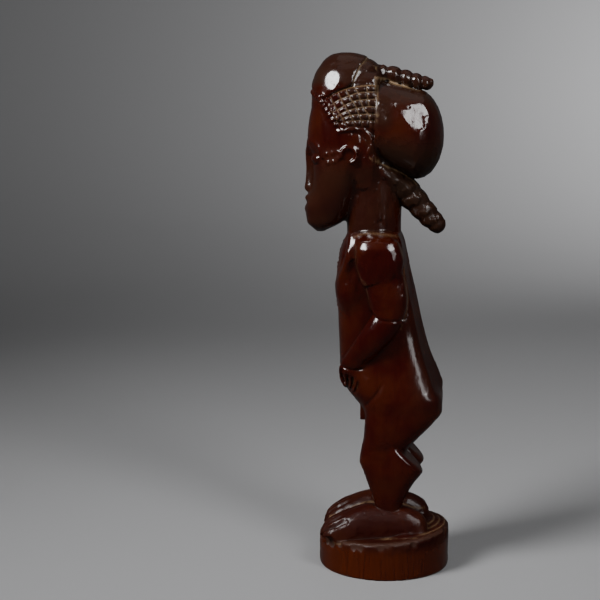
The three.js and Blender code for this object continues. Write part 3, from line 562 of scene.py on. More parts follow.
def level_form(cuts, power, side=0.0, sides=120, shape=None):
    """A form of level cuts, each with a rounded outline."""
    low, high = cuts.spots[0], cuts.spots[-1]
    rows = int(high - low) + 2

    def place(share, angle):
        z = mix(low, high, share)
        front = cuts.size("front", z)
        back = cuts.size("back", z)
        wide = cuts.size("wide", z) if "wide" in cuts.names else (front + back) / 2
        x, y = outline(angle, front, back, wide, cuts.size("half", z), power)
        return shape(x + side, y, z, share) if shape else (x + side, y, z)

    return ring_form(rows, sides, place)


def spline(points, share):
    """Places and directions on a smooth curve through points."""
    points = np.asarray(points, float)
    last = len(points) - 1
    padded = np.concatenate([2 * points[:1] - points[1:2], points, 2 * points[-1:] - points[-2:-1]])
    i = np.clip((share * last).astype(int), 0, last - 1)
    t = (share * last - i)[..., None]
    a, b, c, d = (padded[i + k] for k in range(4))
    slope = c - a
    bend = 2 * a - 5 * b + 4 * c - d
    twist = 3 * b - a - 3 * c + d
    place = 0.5 * (2 * b + slope * t + bend * t ** 2 + twist * t ** 3)
    ahead = 0.5 * (slope + 2 * bend * t + 3 * twist * t ** 2)
    return place, ahead / np.linalg.norm(ahead, axis=-1, keepdims=True)


def smooth_line(line, count):
    """The places of a smooth flat curve through a line, as two rows of numbers."""
    spots, _ = spline([(*point, 0.0) for point in line], np.linspace(0, 1, count))
    return spots[:, 0], spots[:, 1]


def path_form(cuts, rows=60, sides=48, swell=None, round_ends=0.0):
    """A form that follows a path of (x, y, z, along, across), with an oval section square to it."""
    table = np.array(cuts, float)
    spots = np.linspace(0, 1, len(table))
    sizes = Cuts("at along across", np.column_stack([spots, table[:, 3:]]).tolist())

    def place(share, angle):
        centre, ahead = spline(table[:, :3], share)
        along = np.cross(ahead, [1.0, 0.0, 0.0])
        along /= np.linalg.norm(along, axis=-1, keepdims=True)
        across = np.cross(along, ahead)
        size = swell(share, angle) if swell else np.ones_like(share)
        if round_ends:
            edge = np.minimum(share, 1 - share) / round_ends
            size = size * np.sqrt(np.clip(1 - (1 - np.minimum(edge, 1)) ** 2, 0.003, 1))
        width = sizes.size("across", share) * np.cos(angle) * size
        depth = sizes.size("along", share) * np.sin(angle) * size
        return np.moveaxis(centre + across * width[..., None] + along * depth[..., None], -1, 0)

    return ring_form(rows, sides, place)


def ball(at, radii, turn=0.0, rows=40, sides=56):
    def place(share, angle):
        bend = np.pi * mix(0.01, 0.99, share)
        x = radii[0] * np.sin(bend) * np.cos(angle)
        y = radii[1] * np.sin(bend) * np.sin(angle)
        z = -radii[2] * np.cos(bend)
        turned = math.radians(turn)
        return (
            at[0] + x * math.cos(turned) - y * math.sin(turned),
            at[1] + x * math.sin(turned) + y * math.cos(turned),
            at[2] + z,
        )

    return ring_form(rows, sides, place)


def box_form(low, high):
    corners = np.array([[(high if k >> i & 1 else low)[i] for i in range(3)] for k in range(8)], float)
    quads = np.array([(0, 2, 3, 1), (4, 5, 7, 6), (0, 1, 5, 4), (2, 6, 7, 3), (0, 4, 6, 2), (1, 3, 7, 5)])
    return corners, quads, np.zeros((0, 3), int)


def path_gap(path, a, b, samples=90):
    """How far places (a, b) are from a smooth flat path, and the path's weight at its nearest place."""
    table = np.array([(*point, 1.0)[:3] for point in path], float)
    spots, _ = spline(table, np.linspace(0, 1, samples))
    gap = np.full(np.broadcast(a, b).shape, 1e9)
    weight = np.zeros_like(gap)
    for start, end in zip(spots[:-1], spots[1:]):
        step = end[:2] - start[:2]
        share = ((a - start[0]) * step[0] + (b - start[1]) * step[1]) / max(step @ step, 1e-9)
        share = np.clip(share, 0, 1)
        reach = np.hypot(a - start[0] - share * step[0], b - start[1] - share * step[1])
        nearer = reach < gap
        gap = np.where(nearer, reach, gap)
        weight = np.where(nearer, mix(start[2], end[2], share), weight)
    return gap, weight


def region_gap(corners, a, b):
    """The distance from a flat region's edge, less than nothing inside it."""
    gap = np.full(np.broadcast(a, b).shape, 1e9)
    inside = np.zeros(gap.shape, bool)
    for start, end in zip(corners, corners[1:] + corners[:1]):
        step = (end[0] - start[0], end[1] - start[1])
        share = ((a - start[0]) * step[0] + (b - start[1]) * step[1]) / (step[0] ** 2 + step[1] ** 2)
        share = np.clip(share, 0, 1)
        gap = np.minimum(gap, np.hypot(a - start[0] - share * step[0], b - start[1] - share * step[1]))
        if step[1]:
            crossing = start[0] + (b - start[1]) / step[1] * step[0]
            inside ^= ((start[1] > b) != (end[1] > b)) & (a < crossing)
    return np.where(inside, -gap, gap)


class Timber:
    """A block of wood, held as a grid of distances from its carved surface, less than nothing inside."""

    LOW = np.array([-54.0, -68.0, -3.0])
    HIGH = np.array([54.0, 54.0, 403.0])
    LEAST_MARGIN = 1.5
    FRONT_START = -66.0
    LEFT_START = 52.0
    SEARCH = (0, 120, 0.25)
    PLANES = {"side": (1, 2), "front": (0, 2), "top": (0, 1)}

    def __init__(self, step, reach):
        self.step = step
        self.reach = reach
        self.first = np.floor(self.LOW / step).astype(int)
        self.last = -self.first
        self.last[1:] = np.ceil(self.HIGH[1:] / step).astype(int)
        self.field = np.full(self.last - self.first + 1, reach, np.float32)

    def places(self, k, span):
        return (np.arange(span.start, span.stop) + self.first[k]) * self.step

    def part(self, low, high):
        """The slices that cover a box in millimetres."""
        start = np.maximum(np.floor(np.array(low) / self.step).astype(int) - self.first, 0)
        stop = np.minimum(np.ceil(np.array(high) / self.step).astype(int) - self.first + 1, self.field.shape)
        return tuple(slice(a, b) for a, b in zip(start, stop))

    def measured(self, form, margin):
        """A form's own distances, on the part of the grid around it."""
        points, quads, fans = form
        faces = {"triangles": fans.astype(np.uint32), "quads": quads.astype(np.uint32)}
        grid = openvdb.FloatGrid.createLevelSetFromPolygons(
            points.astype(np.float32),
            transform=openvdb.createLinearTransform(voxelSize=self.step),
            halfWidth=float(margin / self.step),
            **{name: corners for name, corners in faces.items() if len(corners)},
        )
        spans = self.part(points.min(axis=0) - margin, points.max(axis=0) + margin)
        values = np.empty([span.stop - span.start for span in spans], np.float32)
        corner = tuple(int(span.start + first) for span, first in zip(spans, self.first))
        grid.copyToArray(values, ijk=corner)
        outside = values >= margin * 0.999
        values[outside] = self.reach
        return spans, values

    def margin(self, blend):
        return max(blend, self.LEAST_MARGIN) + 2 * self.step

    def other_side(self, spans):
        count = self.field.shape[0]
        return (slice(count - spans[0].stop, count - spans[0].start), *spans[1:])

    def add(self, form, blend, both=False):
        spans, values = self.measured(form, self.margin(blend))
        for way in (1, -1) if both else (1,):
            self.field[spans] = joined(self.field[spans], values[::way], blend, self.reach)
            spans = self.other_side(spans)

    def cut(self, form, blend):
        """Takes a form out of both sides."""
        spans, values = self.measured(form, self.margin(blend))
        for way in (1, -1):
            self.field[spans] = -joined(-self.field[spans], values[::way], blend, self.reach)
            spans = self.other_side(spans)

    def lift(self, plane, height, low, high, both=True):
        """Raises the surface in a box by height(a, b), seen square to a plane."""
        spans = self.part(low, high)
        k, m = self.PLANES[plane]
        a = self.places(k, spans[k])[:, None]
        b = self.places(m, spans[m])[None, :]
        raised = np.expand_dims(height(a, b).astype(np.float32), 3 - k - m)
        self.field[spans] -= raised
        if both:
            mirrored = raised[::-1] if raised.shape[0] > 1 else raised
            self.field[self.other_side(spans)] -= mirrored

    def score(self, plane, path, width, depth, low, high, both=True):
        """Cuts a groove along a flat path, as deep as depth times the path's own weights."""
        def height(a, b):
            gap, weight = path_gap(path, a, b)
            return -depth * weight * np.exp(-((gap / width) ** 2))

        self.lift(plane, height, low, high, both)

    def surface(self, spots, way):
        """The first places of the wood that are met from spots in one direction."""
        steps = np.arange(*self.SEARCH)
        places = spots[:, None] + steps[None, :, None] * np.array(way)
        values = self.read(self.field, places.reshape(-1, 3)).reshape(len(spots), -1)
        first = np.argmax(values < 0, axis=1)
        return places[np.arange(len(spots)), first]

    def front(self, x, z):
        return self.surface(np.column_stack([x, np.full(len(x), self.FRONT_START), z]), (0, 1, 0))

    def left(self, y, z):
        return self.surface(np.column_stack([np.full(len(y), self.LEFT_START), y, z]), (-1, 0, 0))

    def flatten(self, at, normal, depth, wide):
        """Cuts one flat that faces along normal, on either side, depth below the highest wood nearby."""
        normal = np.array(normal) / np.linalg.norm(normal)
        spans = self.part(np.array(at) - wide, np.array(at) + wide)
        x, y, z = np.meshgrid(*(self.places(k, spans[k]) for k in range(3)), indexing="ij")
        above = x * normal[0] + y * normal[1] + z * normal[2]
        near = np.hypot(np.hypot(x - at[0], y - at[1]), z - at[2]) < wide
        above -= above[near & (self.field[spans] < 0)].max() - depth
        above = np.where(near, above, -self.reach).astype(np.float32)
        for way in (1, -1):
            self.field[spans] = np.maximum(self.field[spans], above[::way])
            spans = self.other_side(spans)

    def softened(self, spread):
        return blurred(self.field, spread / self.step)

    def mesh(self):
        """The carved surface as points in millimetres and four-sided faces that turn outwards."""
        grid = openvdb.FloatGrid(self.reach)
        grid.copyFromArray(self.field)
        points, _, quads = grid.convertToPolygons(isovalue=0.0, adaptivity=0.0)
        points = (points + self.first) * self.step
        quads = quads.astype(np.int64)
        a, b, c, d = (points[quads[:, k]] for k in range(4))
        volume = np.einsum("ij,ij->i", a, np.cross(b, c) + np.cross(c, d)).sum()
        return points, quads if volume > 0 else quads[:, ::-1]

    def read(self, values, points):
        """Values of a grid at points in millimetres, between its own places."""
        spot = points / self.step - self.first
        base = np.clip(np.floor(spot).astype(int), 0, np.array(values.shape) - 2)
        t = spot - base
        total = np.zeros(len(points))
        for corner in np.ndindex(2, 2, 2):
            share = np.prod(np.where(corner, t, 1 - t), axis=1)
            i, j, k = (base + corner).T
            total += share * values[i, j, k]
        return total


def joined(a, b, blend, reach):
    """Two grids of distances made one, with a fillet of blend where they meet."""
    least = np.minimum(a, b)
    if blend <= 0:
        return least
    share = np.maximum(blend - np.abs(a - b), 0) / blend
    return np.where(least >= reach * 0.999, least, least - share * share * (blend / 4))


def blurred(values, spread):
    """A grid softened along its three directions, as by a bell curve of the given spread in steps."""
    reach = max(1, int(math.ceil(2.5 * spread)))
    bell = np.exp(-0.5 * (np.arange(-reach, reach + 1) / spread) ** 2)
    bell /= bell.sum()
    for axis in range(3):
        total = np.zeros_like(values)
        for offset, share in zip(range(-reach, reach + 1), bell):
            to = [slice(None)] * 3
            source = [slice(None)] * 3
            count = values.shape[axis]
            to[axis] = slice(max(0, -offset), min(count, count - offset))
            source[axis] = slice(max(0, offset), min(count, count + offset))
            total[tuple(to)] += np.float32(share) * values[tuple(source)]
        values = total
    return values


# The figure's forms, from the base up

def base_top(y):
    return mix(BASE_FRONT_HEIGHT, BASE_BACK_HEIGHT, (y + BASE_RADIUS) / (2 * BASE_RADIUS))


def add_base(wood):
    def drum(share, angle):
        ring = np.array([0.0, 1.0, 2.0])[np.rint(share * 2).astype(int)]
        radius = np.where(ring == 2, BASE_RADIUS - BASE_CHAMFER, BASE_RADIUS - BASE_UNDER_IN * (ring == 0))
        x = radius * np.cos(angle)
        y = radius * np.sin(angle)
        top = base_top(y)
        return x, y, np.where(ring == 0, 0.0, np.where(ring == 1, top - BASE_CHAMFER, top))

    wood.add(ring_form(3, 200, drum), blend=0)
    for i in range(HEEL_STEPS):
        radius = HEEL_STEP_REACH - i * HEEL_STEP_WIDTH

        def step(share, angle):
            reach = radius * np.where(share > 0.7, 1, HEEL_STEP_BATTER)
            x = reach * np.cos(angle)
            y = HEEL_STEP_MIDDLE + reach * np.sin(angle)
            rise = (i + 1) * HEEL_STEP_HEIGHT * eased(*HEEL_STEP_RISE, y)
            top = base_top(y) + rise - HEEL_STEP_BEVEL * (share < 0.7)
            return x, y, np.where(share == 0, FOOT_SOLE, top)

        wood.add(ring_form(3, 160, step), blend=0.1)


def chip_rim(wood, seed):
    """Knocks shell-shaped flakes of unlike size out of the rim of the base."""
    draw = np.random.default_rng(seed)
    angle = 0.0
    while angle < 2 * np.pi:
        radius = draw.uniform(*CHIP_RADIUS)
        out = BASE_RADIUS + radius - draw.uniform(*CHIP_DEEP)
        y = out * math.sin(angle)
        at = np.array([out * math.cos(angle), y, base_top(y) - draw.uniform(*CHIP_DROP)])
        spans = wood.part(at - radius, at + radius)
        places = np.meshgrid(*(wood.places(k, spans[k]) - at[k] for k in range(3)), indexing="ij")
        gap = radius - np.sqrt(sum(place ** 2 for place in places))
        wood.field[spans] = np.maximum(wood.field[spans], gap.astype(np.float32))
        angle += draw.uniform(*CHIP_STEP) / BASE_RADIUS


def toe_gaps():
    """The grooves between the toes of the left foot, seen from above."""
    paths = []
    for share in TOE_GAPS:
        path = []
        for step in range(5):
            y = TOE_TIP + step / 4 * (TOE_LENGTH + 2)
            half = float(FOOT.size("half", max(y, TOE_WIDE_FROM)))
            path.append((FOOT_SIDE + share * half, y, mix(1.0, 0.0, (step / 4) ** 2)))
        paths.append(path)
    return paths


def add_feet(wood):
    def foot(share, angle):
        y = mix(FOOT.spots[-1], FOOT.spots[0], share)
        half = FOOT.size("half", y)
        across, up = outline(angle, FOOT_SOLE, FOOT.size("top", y), FOOT_WIDE_LEVEL, half, FOOT_POWER)
        return FOOT_SIDE + across, y, up

    wood.add(ring_form(90, 80, foot), blend=0.5, both=True)
    for path in toe_gaps():
        wood.score("top", path, **TOE_GROOVE)


def add_legs(wood):
    wood.add(level_form(LEG, LEG_POWER, LEG_SIDE), blend=6, both=True)

    def flat_top(x, y, z, share):
        return x, y, z + share ** 2 * CALF_TOP_SLOPE * (y - CALF_TOP_MIDDLE)

    wood.add(level_form(CALF, CALF_POWER, LEG_SIDE, shape=flat_top), blend=1.4, both=True)


def add_torso(wood):
    """Each flank ends behind in a ridge, and the back rises from there to the furrow of the spine."""
    low, high = TORSO.spots[0], TORSO.spots[-1]

    def trunk(share, angle):
        z = mix(low, high, share)
        front, ridge, back, half, furrow = (TORSO.size(name, z) for name in TORSO.names[1:])
        middle = (front + back) / 2
        x, y = outline(angle, front, back, middle, half, TORSO_POWER)
        turn = np.arcsin(np.clip(np.sin(angle), 0, 1)) / (np.pi / 2)
        flank = np.minimum(turn / FLANK_SHARE, 1)
        inward = np.clip((turn - FLANK_SHARE) / (1 - FLANK_SHARE), 0, 1)
        side_x = (half - RIDGE_IN * flank ** 5) * (1 - inward)
        hollow = furrow * np.maximum(1 - side_x / SPINE_HALF, 0)
        rise = np.clip((half - RIDGE_IN - side_x) / (half - RIDGE_IN - SPINE_HALF), 0, 1)
        side_y = mix(mix(middle, ridge, flank), back, rise) - hollow
        behind = np.sin(angle) > 0
        return np.where(behind, np.sign(np.cos(angle)) * side_x, x), np.where(behind, side_y, y), z

    wood.add(ring_form(int(high - low) + 2, 320, trunk), blend=5)
    wood.add(ball(BREAST_AT, BREAST_RADII), blend=5, both=True)
    wood.add(path_form(CHEST_EDGE, round_ends=0.1), blend=5, both=True)
    wood.add(box_form(LOIN_TAB_LOW, LOIN_TAB_HIGH), blend=0.8)


def add_shoulders(wood):
    def bar(share, angle):
        x = mix(-YOKE.spots[-1], YOKE.spots[-1], share)
        at = np.abs(x)
        front, back = YOKE.size("front", at), YOKE.size("back", at)
        low, high = YOKE.size("low", at), YOKE.size("high", at)
        deep, z = outline(angle, low, high, (low + high) / 2, (back - front) / 2, YOKE_POWER)
        return x, deep + (front + back) / 2, z

    wood.add(ring_form(90, 80, bar), blend=4)


def shifted(form, way):
    """A form on the left side, or on the right side and a little further forward."""
    points, quads, fans = form
    if way > 0:
        return form
    points = points * (-1, 1, 1) - (0, RIGHT_ARM_FORWARD, 0)
    return points, quads[:, ::-1], fans[:, ::-1]


def add_arms(wood):
    def hem(x, y, z, share):
        return x, y, z + (1 - share) ** 3 * SHOULDER_HEM_SLOPE * y

    for way in (1, -1):
        wood.add(shifted(level_form(UPPER_ARM, UPPER_ARM_POWER, UPPER_ARM_SIDE), way), blend=2.5)
        wood.add(shifted(path_form(FOREARM), way), blend=1.6)
        wood.add(shifted(level_form(SHOULDER_CAP, SHOULDER_POWER, SHOULDER_SIDE, shape=hem), way), blend=1.2)


def score_arms(wood):
    """Creases at the elbow and the wrist, and slits between the fingers."""
    for line, width, depth in ARM_LINES:
        wood.score("side", line, width, depth, **LEFT_ARM_BOX, both=False)
        moved = [(point[0] - RIGHT_ARM_FORWARD, *point[1:]) for point in line]
        wood.score("side", moved, width, depth, **RIGHT_ARM_BOX, both=False)
    wood.score("side", GROIN, **GROIN_GROOVE)


def add_fingers(wood):
    for i in range(FINGER_COUNT):
        angle = math.radians(mix(FINGER_FIRST_ANGLE, FINGER_LAST_ANGLE, i / (FINGER_COUNT - 1)))
        cuts = []
        for z, out_x, out_y, radius in FINGER:
            x = BELLY_HALF * math.cos(angle) * out_x
            y = BELLY_DEEP * math.sin(angle) * out_y
            cuts.append((x, y, z + i * FINGER_TIP_STEP, radius, radius))
        wood.add(path_form(cuts, rows=30, sides=24, round_ends=0.12), blend=0.5, both=True)


def hair_tip(y, z):
    return eased(HAIR_TIP_FROM, HAIR_TIP_TO, z) * HAIR_TIP_SLOPE * (y - HEAD_MIDDLE)


def add_head(wood):
    def neck(share, angle):
        x = NECK_HALF * np.cos(angle)
        return x, NECK_Y + NECK_DEEP * np.sin(angle), mix(NECK_LOW, NECK_HIGH, share)

    def tipped(x, y, z, share):
        return x, y, z + hair_tip(y, z)

    wood.add(ring_form(60, 120, neck), blend=0.6)
    wood.add(level_form(HEAD, HEAD_POWER, sides=160, shape=tipped), blend=5)
    wood.add(level_form(HAIR_BACK, HAIR_BACK_POWER, sides=120), blend=4)
    wood.add(ball(MUZZLE_AT, MUZZLE_RADII), blend=4)


def add_crown(wood):
    def tipped(x, y, z, share):
        return x, y, z + CROWN_TIP_SLOPE * (y - HEAD_MIDDLE)

    wood.add(level_form(CROWN, CROWN_POWER, sides=160, shape=tipped), blend=0.5)

    def raised(x, y, z, share):
        out = 1 + CROWN_STEP / CROWN_STEP_SPAN
        x, y, z = tipped(x, y, z, share)
        lift = CROWN_STEP * 0.6 * eased(CROWN_TOP_FROM, CROWN_TOP_FROM + 2, z)
        z = np.minimum(z + lift, CROWN_TOP)
        return x * out, HEAD_MIDDLE + (y - HEAD_MIDDLE) * out, z

    spans, values = wood.measured(level_form(CROWN, CROWN_POWER, sides=160, shape=raised), CROWN_MARGIN)
    y = wood.places(1, spans[1])[:, None]
    z = wood.places(2, spans[2])[None, :]
    corners = [*CROWN_HEM, *zip(*smooth_line(CROWN_EDGE, CROWN_EDGE_SPOTS)), CROWN_CUTTER]
    values = np.maximum(values, region_gap(corners, y, z)[None].astype(np.float32))
    wood.field[spans] = joined(wood.field[spans], values, CROWN_BLEND, wood.reach)
    wood.score("side", CROWN_EDGE, **CROWN_EDGE_GROOVE)
    wood.score("side", CROWN_HEM[3:] + CROWN_EDGE[:1], **CROWN_HEM_GROOVE)


def plait_lines():
    """Every groove of the side hair: the rows from the hairline back, and the columns between them."""
    return [*PLAIT_ROWS, *PLAIT_COLUMNS]


def plait_region(y, z):
    """How far a place on the head's side is outside the plaited hair, less than nothing inside it."""
    corners = [*PLAIT_ROWS[0], *reversed(PLAIT_ROWS[-1]), *reversed(PLAIT_COLUMNS[0][1:-1])]
    return region_gap(corners, y, z)


def add_plaits(wood, groove):
    def height(y, z):
        gap = np.full(np.broadcast(y, z).shape, 9.0)
        for line in plait_lines():
            gap = np.minimum(gap, path_gap(line, y, z, samples=36)[0])
        raised = PLAIT_FLOOR + (PLAIT_HEIGHT - PLAIT_FLOOR) * eased(PLAIT_VALLEY, groove, gap)
        return raised * eased(0.5, -0.5, plait_region(y, z))

    wood.lift("side", height, **PLAIT_BOX)
    wood.score("side", HAIR_HEM, **HAIR_HEM_RIDGE)
    wood.score("side", HAIR_HEM_INNER, **HAIR_HEM_GROOVE)


def add_strings(wood, material):
    """Strings of beads: the hair over the brow, the scars down the chest, and the marks at the temple."""
    for row in range(BROW_ROWS):
        across = np.linspace(-BROW_SPAN, BROW_SPAN, BROW_SPOTS)
        low = BROW_TOP - row * BROW_ROW_STEP - BROW_DROP * (across / BROW_SPAN) ** 2
        wood.add(beads(wood.front(across, low), BROW_PITCH, BROW_RADIUS, material), blend=0.3)
    for way, lines, count, pitch, radius, blend in STRINGS:
        for line in lines:
            spots = getattr(wood, way)(*smooth_line(line, count))
            wood.add(beads(spots, pitch, radius, material), blend, both=True)


def add_face(wood):
    def nose(share, angle):
        z = mix(NOSE.spots[0], NOSE.spots[-1], share)
        deep = np.sin(angle)
        y = NOSE_ROOT + deep * np.where(deep < 0, NOSE_ROOT - NOSE.size("ridge", z), NOSE_ROOT_DEPTH)
        return NOSE.size("half", z) * np.cos(angle), y, z

    wood.add(ring_form(80, 60, nose), blend=2.4)
    for at, radii in LIPS:
        wood.add(ball(at, radii), blend=1.2)
    wood.score("front", MOUTH, **MOUTH_GROOVE, both=False)
    wood.add(ball(EYE_AT, EYE_RADII, EYE_TURN), blend=0.6, both=True)
    wood.score("front", EYE_SLIT, **EYE_SLIT_GROOVE)
    turns = np.linspace(0, 2 * np.pi, 25)
    rim = [
        (EYE_AT[0] + EYE_EDGE_RADII[0] * math.cos(turn), EYE_AT[2] + EYE_EDGE_RADII[1] * math.sin(turn))
        for turn in turns
    ]
    wood.score("front", rim, **EYE_EDGE_GROOVE)
    wood.add(path_form(BROW, sides=32, round_ends=0.06), blend=2.6, both=True)


def add_ears(wood):
    pit = (EAR_SIDE + EAR_HOLLOW * 0.6, EAR_Y, EAR_Z)
    wood.cut(ball(pit, (EAR_HOLLOW, EAR_RADIUS - 0.6, EAR_RADIUS - 0.6)), blend=0.8)
    for angle in np.radians(np.linspace(-70, 190, 24)):
        at = (EAR_SIDE, EAR_Y + EAR_RADIUS * math.cos(angle), EAR_Z + EAR_RADIUS * math.sin(angle))
        wood.add(ball(at, (EAR_RIM, EAR_RIM, EAR_RIM), rows=12, sides=16), blend=0.5, both=True)


def add_bun(wood):
    def place(share, angle):
        back = 1 - share
        straight = np.minimum(1, back / BUN_STRAIGHT_SHARE)
        over = (back - BUN_STRAIGHT_SHARE) / (1 - BUN_STRAIGHT_SHARE)
        bend = np.pi / 2 * np.clip(over, 0, 0.995)
        swell = np.sin(np.pi / 2 * straight)
        y = mix(BUN_FRONT["y"], BUN_FULL["y"], straight) + (BUN_BACK["y"] - BUN_FULL["y"]) * np.sin(bend)
        tall = mix(BUN_FRONT["tall"], BUN_FULL["tall"], swell) * np.cos(bend)
        half = mix(BUN_FRONT["half"], BUN_FULL["half"], swell) * np.cos(bend)
        middle = mix(BUN_FRONT["middle"], BUN_FULL["middle"], straight)
        middle = mix(middle, BUN_BACK["middle"], 1 - np.cos(bend))
        x, up = outline(angle, -tall, tall, 0.0, half, BUN_POWER)
        return x, y, middle + up

    wood.add(ring_form(90, 160, place), blend=0.4)


def braid_swell(lobes, start, plain, end, depth, lean):
    """Rounded lumps between slanting grooves, from plain to end along the braid."""
    def swell(share, angle):
        turn = share * lobes + start - lean * np.sin(angle)
        lump = np.abs(np.sin(np.pi * turn)) ** LUMP_POWER
        shown = eased(plain, plain + LUMP_START, share)
        return 1 + depth * (lump - 1) * shown * eased(end + LUMP_END, end, share)

    return swell


def add_braids(wood):
    lumps = braid_swell(**TOP_BRAID_LUMPS)
    wood.add(path_form(TOP_BRAID, 200, 96, lumps, round_ends=0.06), blend=0.4)
    lumps = braid_swell(**NAPE_BRAID_LUMPS)
    wood.add(path_form(NAPE_BRAID, 200, 96, lumps, round_ends=0.07), blend=0.6)


def carve(settings, material):
    wood = Timber(settings.grid_step, settings.reach)
    add_legs(wood)
    add_torso(wood)
    add_shoulders(wood)
    add_base(wood)
    add_feet(wood)
    add_head(wood)
    add_arms(wood)
    add_fingers(wood)
    score_arms(wood)
    chip_rim(wood, settings.seed)
    add_face(wood)
    add_crown(wood)
    add_plaits(wood, settings.groove_width)
    add_ears(wood)
    add_bun(wood)
    add_braids(wood)
    add_strings(wood, material)
    for at, normal, depth, wide in FLATS:
        wood.flatten(at, normal, depth, wide)
    return wood


# Wires and nodes: sums on wires add their Math nodes

class Wire:
    """An output of a node, which sums and products can use as a number."""

    def __init__(self, tree, socket):
        self.tree = tree
        self.socket = socket

    def math(self, operation, *inputs, clamp=False):
        node = self.tree.nodes.new("ShaderNodeMath")
        node.operation = operation
        node.use_clamp = clamp
        for socket, value in zip(node.inputs, inputs):
            connect(self.tree, socket, value)
        return Wire(self.tree, node.outputs[0])

    def __add__(self, other):
        return self.math("ADD", self, other)

    __radd__ = __add__

    def __sub__(self, other):
        return self.math("SUBTRACT", self, other)

    def __mul__(self, other):
        return self.math("MULTIPLY", self, other)

    __rmul__ = __mul__

    def __truediv__(self, other):
        return self.math("DIVIDE", self, other)

    def __rtruediv__(self, other):
        return self.math("DIVIDE", other, self)

    def clamped(self):
        return self.math("ADD", self, 0.0, clamp=True)

    def between(self, low, high):
        """0 below low, 1 above high, and eased between them."""
        node = self.tree.nodes.new("ShaderNodeMapRange")
        node.interpolation_type = "SMOOTHSTEP"
        for name, value in (("Value", self), ("From Min", low), ("From Max", high)):
            connect(self.tree, node.inputs[name], value)
        return Wire(self.tree, node.outputs[0])


def connect(tree, socket, value):
    if isinstance(value, Wire):
        tree.links.new(value.socket, socket)
    elif isinstance(value, bpy.types.NodeSocket):
        tree.links.new(value, socket)
    else:
        socket.default_value = value


def add_node(tree, kind, settings=None, inputs=None, output=0):
    """A node of a kind: its settings first, then the values or wires of its sockets."""
    node = tree.nodes.new(kind)
    for name, value in (settings or {}).items():
        setattr(node, name, value)
    for name, value in (inputs or {}).items():
        connect(tree, node.inputs[name], value)
    return Wire(tree, node.outputs[output])


def vector_sum(tree, operation, a, b=None, scale=None, output=0):
    node = tree.nodes.new("ShaderNodeVectorMath")
    node.operation = operation
    connect(tree, node.inputs[0], a)
    if b is not None:
        connect(tree, node.inputs[1], b)
    if scale is not None:
        connect(tree, node.inputs["Scale"], scale)
    return Wire(tree, node.outputs[output])


def new_tree(name, inputs):
    """A tree that works on geometry, and a wire from each of its named inputs."""
    tree = bpy.data.node_groups.new(name, "GeometryNodeTree")
    for label, kind in (("Geometry", "Geometry"), *inputs):
        tree.interface.new_socket(label, in_out="INPUT", socket_type="NodeSocket" + kind)
    tree.interface.new_socket("Geometry", in_out="OUTPUT", socket_type="NodeSocketGeometry")
    start = tree.nodes.new("NodeGroupInput")
    return tree, {socket.name: Wire(tree, socket) for socket in start.outputs}


def finish_tree(tree, geometry, material):
    """Makes copies real, gives them the material and sends them out of the tree."""
    real = add_node(tree, "GeometryNodeRealizeInstances", None, {"Geometry": geometry})
    finished = add_node(tree, "GeometryNodeSetMaterial", None, {"Geometry": real, "Material": material})
    end = tree.nodes.new("NodeGroupOutput")
    connect(tree, end.inputs[0], finished)
    return tree


def tool_marks_tree(material):
    """Flattens the wood into small facets, as a blade leaves them, where the attribute hewn says so."""
    tree, given = new_tree("Tool marks", (
        ("Facet Size", "Float"), ("Facet Depth", "Float"), ("Facet Length", "Float"),
        ("Unevenness", "Float"), ("Seed", "Int"),
    ))
    on_points = {"data_type": "FLOAT_VECTOR", "domain": "POINT"}

    def node(kind, settings=None, inputs=None):
        return add_node(tree, kind, settings, inputs)

    def stored(geometry, name, value):
        inputs = {"Geometry": geometry, "Name": name, "Value": value}
        return node("GeometryNodeStoreNamedAttribute", on_points, inputs)

    def named(name, kind):
        return node("GeometryNodeInputNamedAttribute", {"data_type": kind}, {"Name": name})

    place = node("GeometryNodeInputPosition")
    smooth_normal = node("GeometryNodeBlurAttribute", {"data_type": "FLOAT_VECTOR"}, {
        "Value": node("GeometryNodeInputNormal"), "Iterations": FACET_BLUR,
    })
    marked = stored(given["Geometry"], "facing", smooth_normal)
    spots = node("GeometryNodeDistributePointsOnFaces", {"distribute_method": "POISSON"}, {
        "Mesh": marked,
        "Distance Min": given["Facet Size"],
        "Density Max": FACET_DENSITY / (given["Facet Size"] * given["Facet Size"]),
        "Seed": given["Seed"],
    })
    spots = stored(spots, "spot", place)
    squash = node("ShaderNodeCombineXYZ", None, {"X": 1.0, "Y": 1.0, "Z": 1.0 / given["Facet Length"]})
    squashed = vector_sum(tree, "MULTIPLY", place, squash)
    spots = node("GeometryNodeSetPosition", None, {"Geometry": spots, "Position": squashed})
    nearest = node("GeometryNodeSampleNearest", {"domain": "POINT"}, {
        "Geometry": spots, "Sample Position": squashed,
    })

    def at_nearest(name):
        return node("GeometryNodeSampleIndex", on_points, {
            "Geometry": spots, "Value": named(name, "FLOAT_VECTOR"), "Index": nearest,
        })

    facing = vector_sum(tree, "NORMALIZE", at_nearest("facing"))
    away = vector_sum(tree, "SUBTRACT", place, at_nearest("spot"))
    gap = vector_sum(tree, "DOT_PRODUCT", away, facing, output=1)
    hewn = named("hewn", "FLOAT")
    limit = gap.math("MINIMUM", gap.math("MAXIMUM", gap, -FACET_LIMIT), FACET_LIMIT)
    flatten = vector_sum(tree, "SCALE", facing, scale=-1.0 * limit * given["Facet Depth"] * hewn)
    sway = node("ShaderNodeTexNoise", {"noise_dimensions": "3D"}, {
        "Vector": place, "Scale": SWAY_SCALE, "Detail": 2.0,
    })
    uneven = vector_sum(tree, "SCALE", smooth_normal, scale=(sway - 0.5) * given["Unevenness"] * hewn)
    moved = node("GeometryNodeSetPosition", None, {
        "Geometry": marked, "Offset": vector_sum(tree, "ADD", flatten, uneven),
    })
    return finish_tree(tree, moved, material)


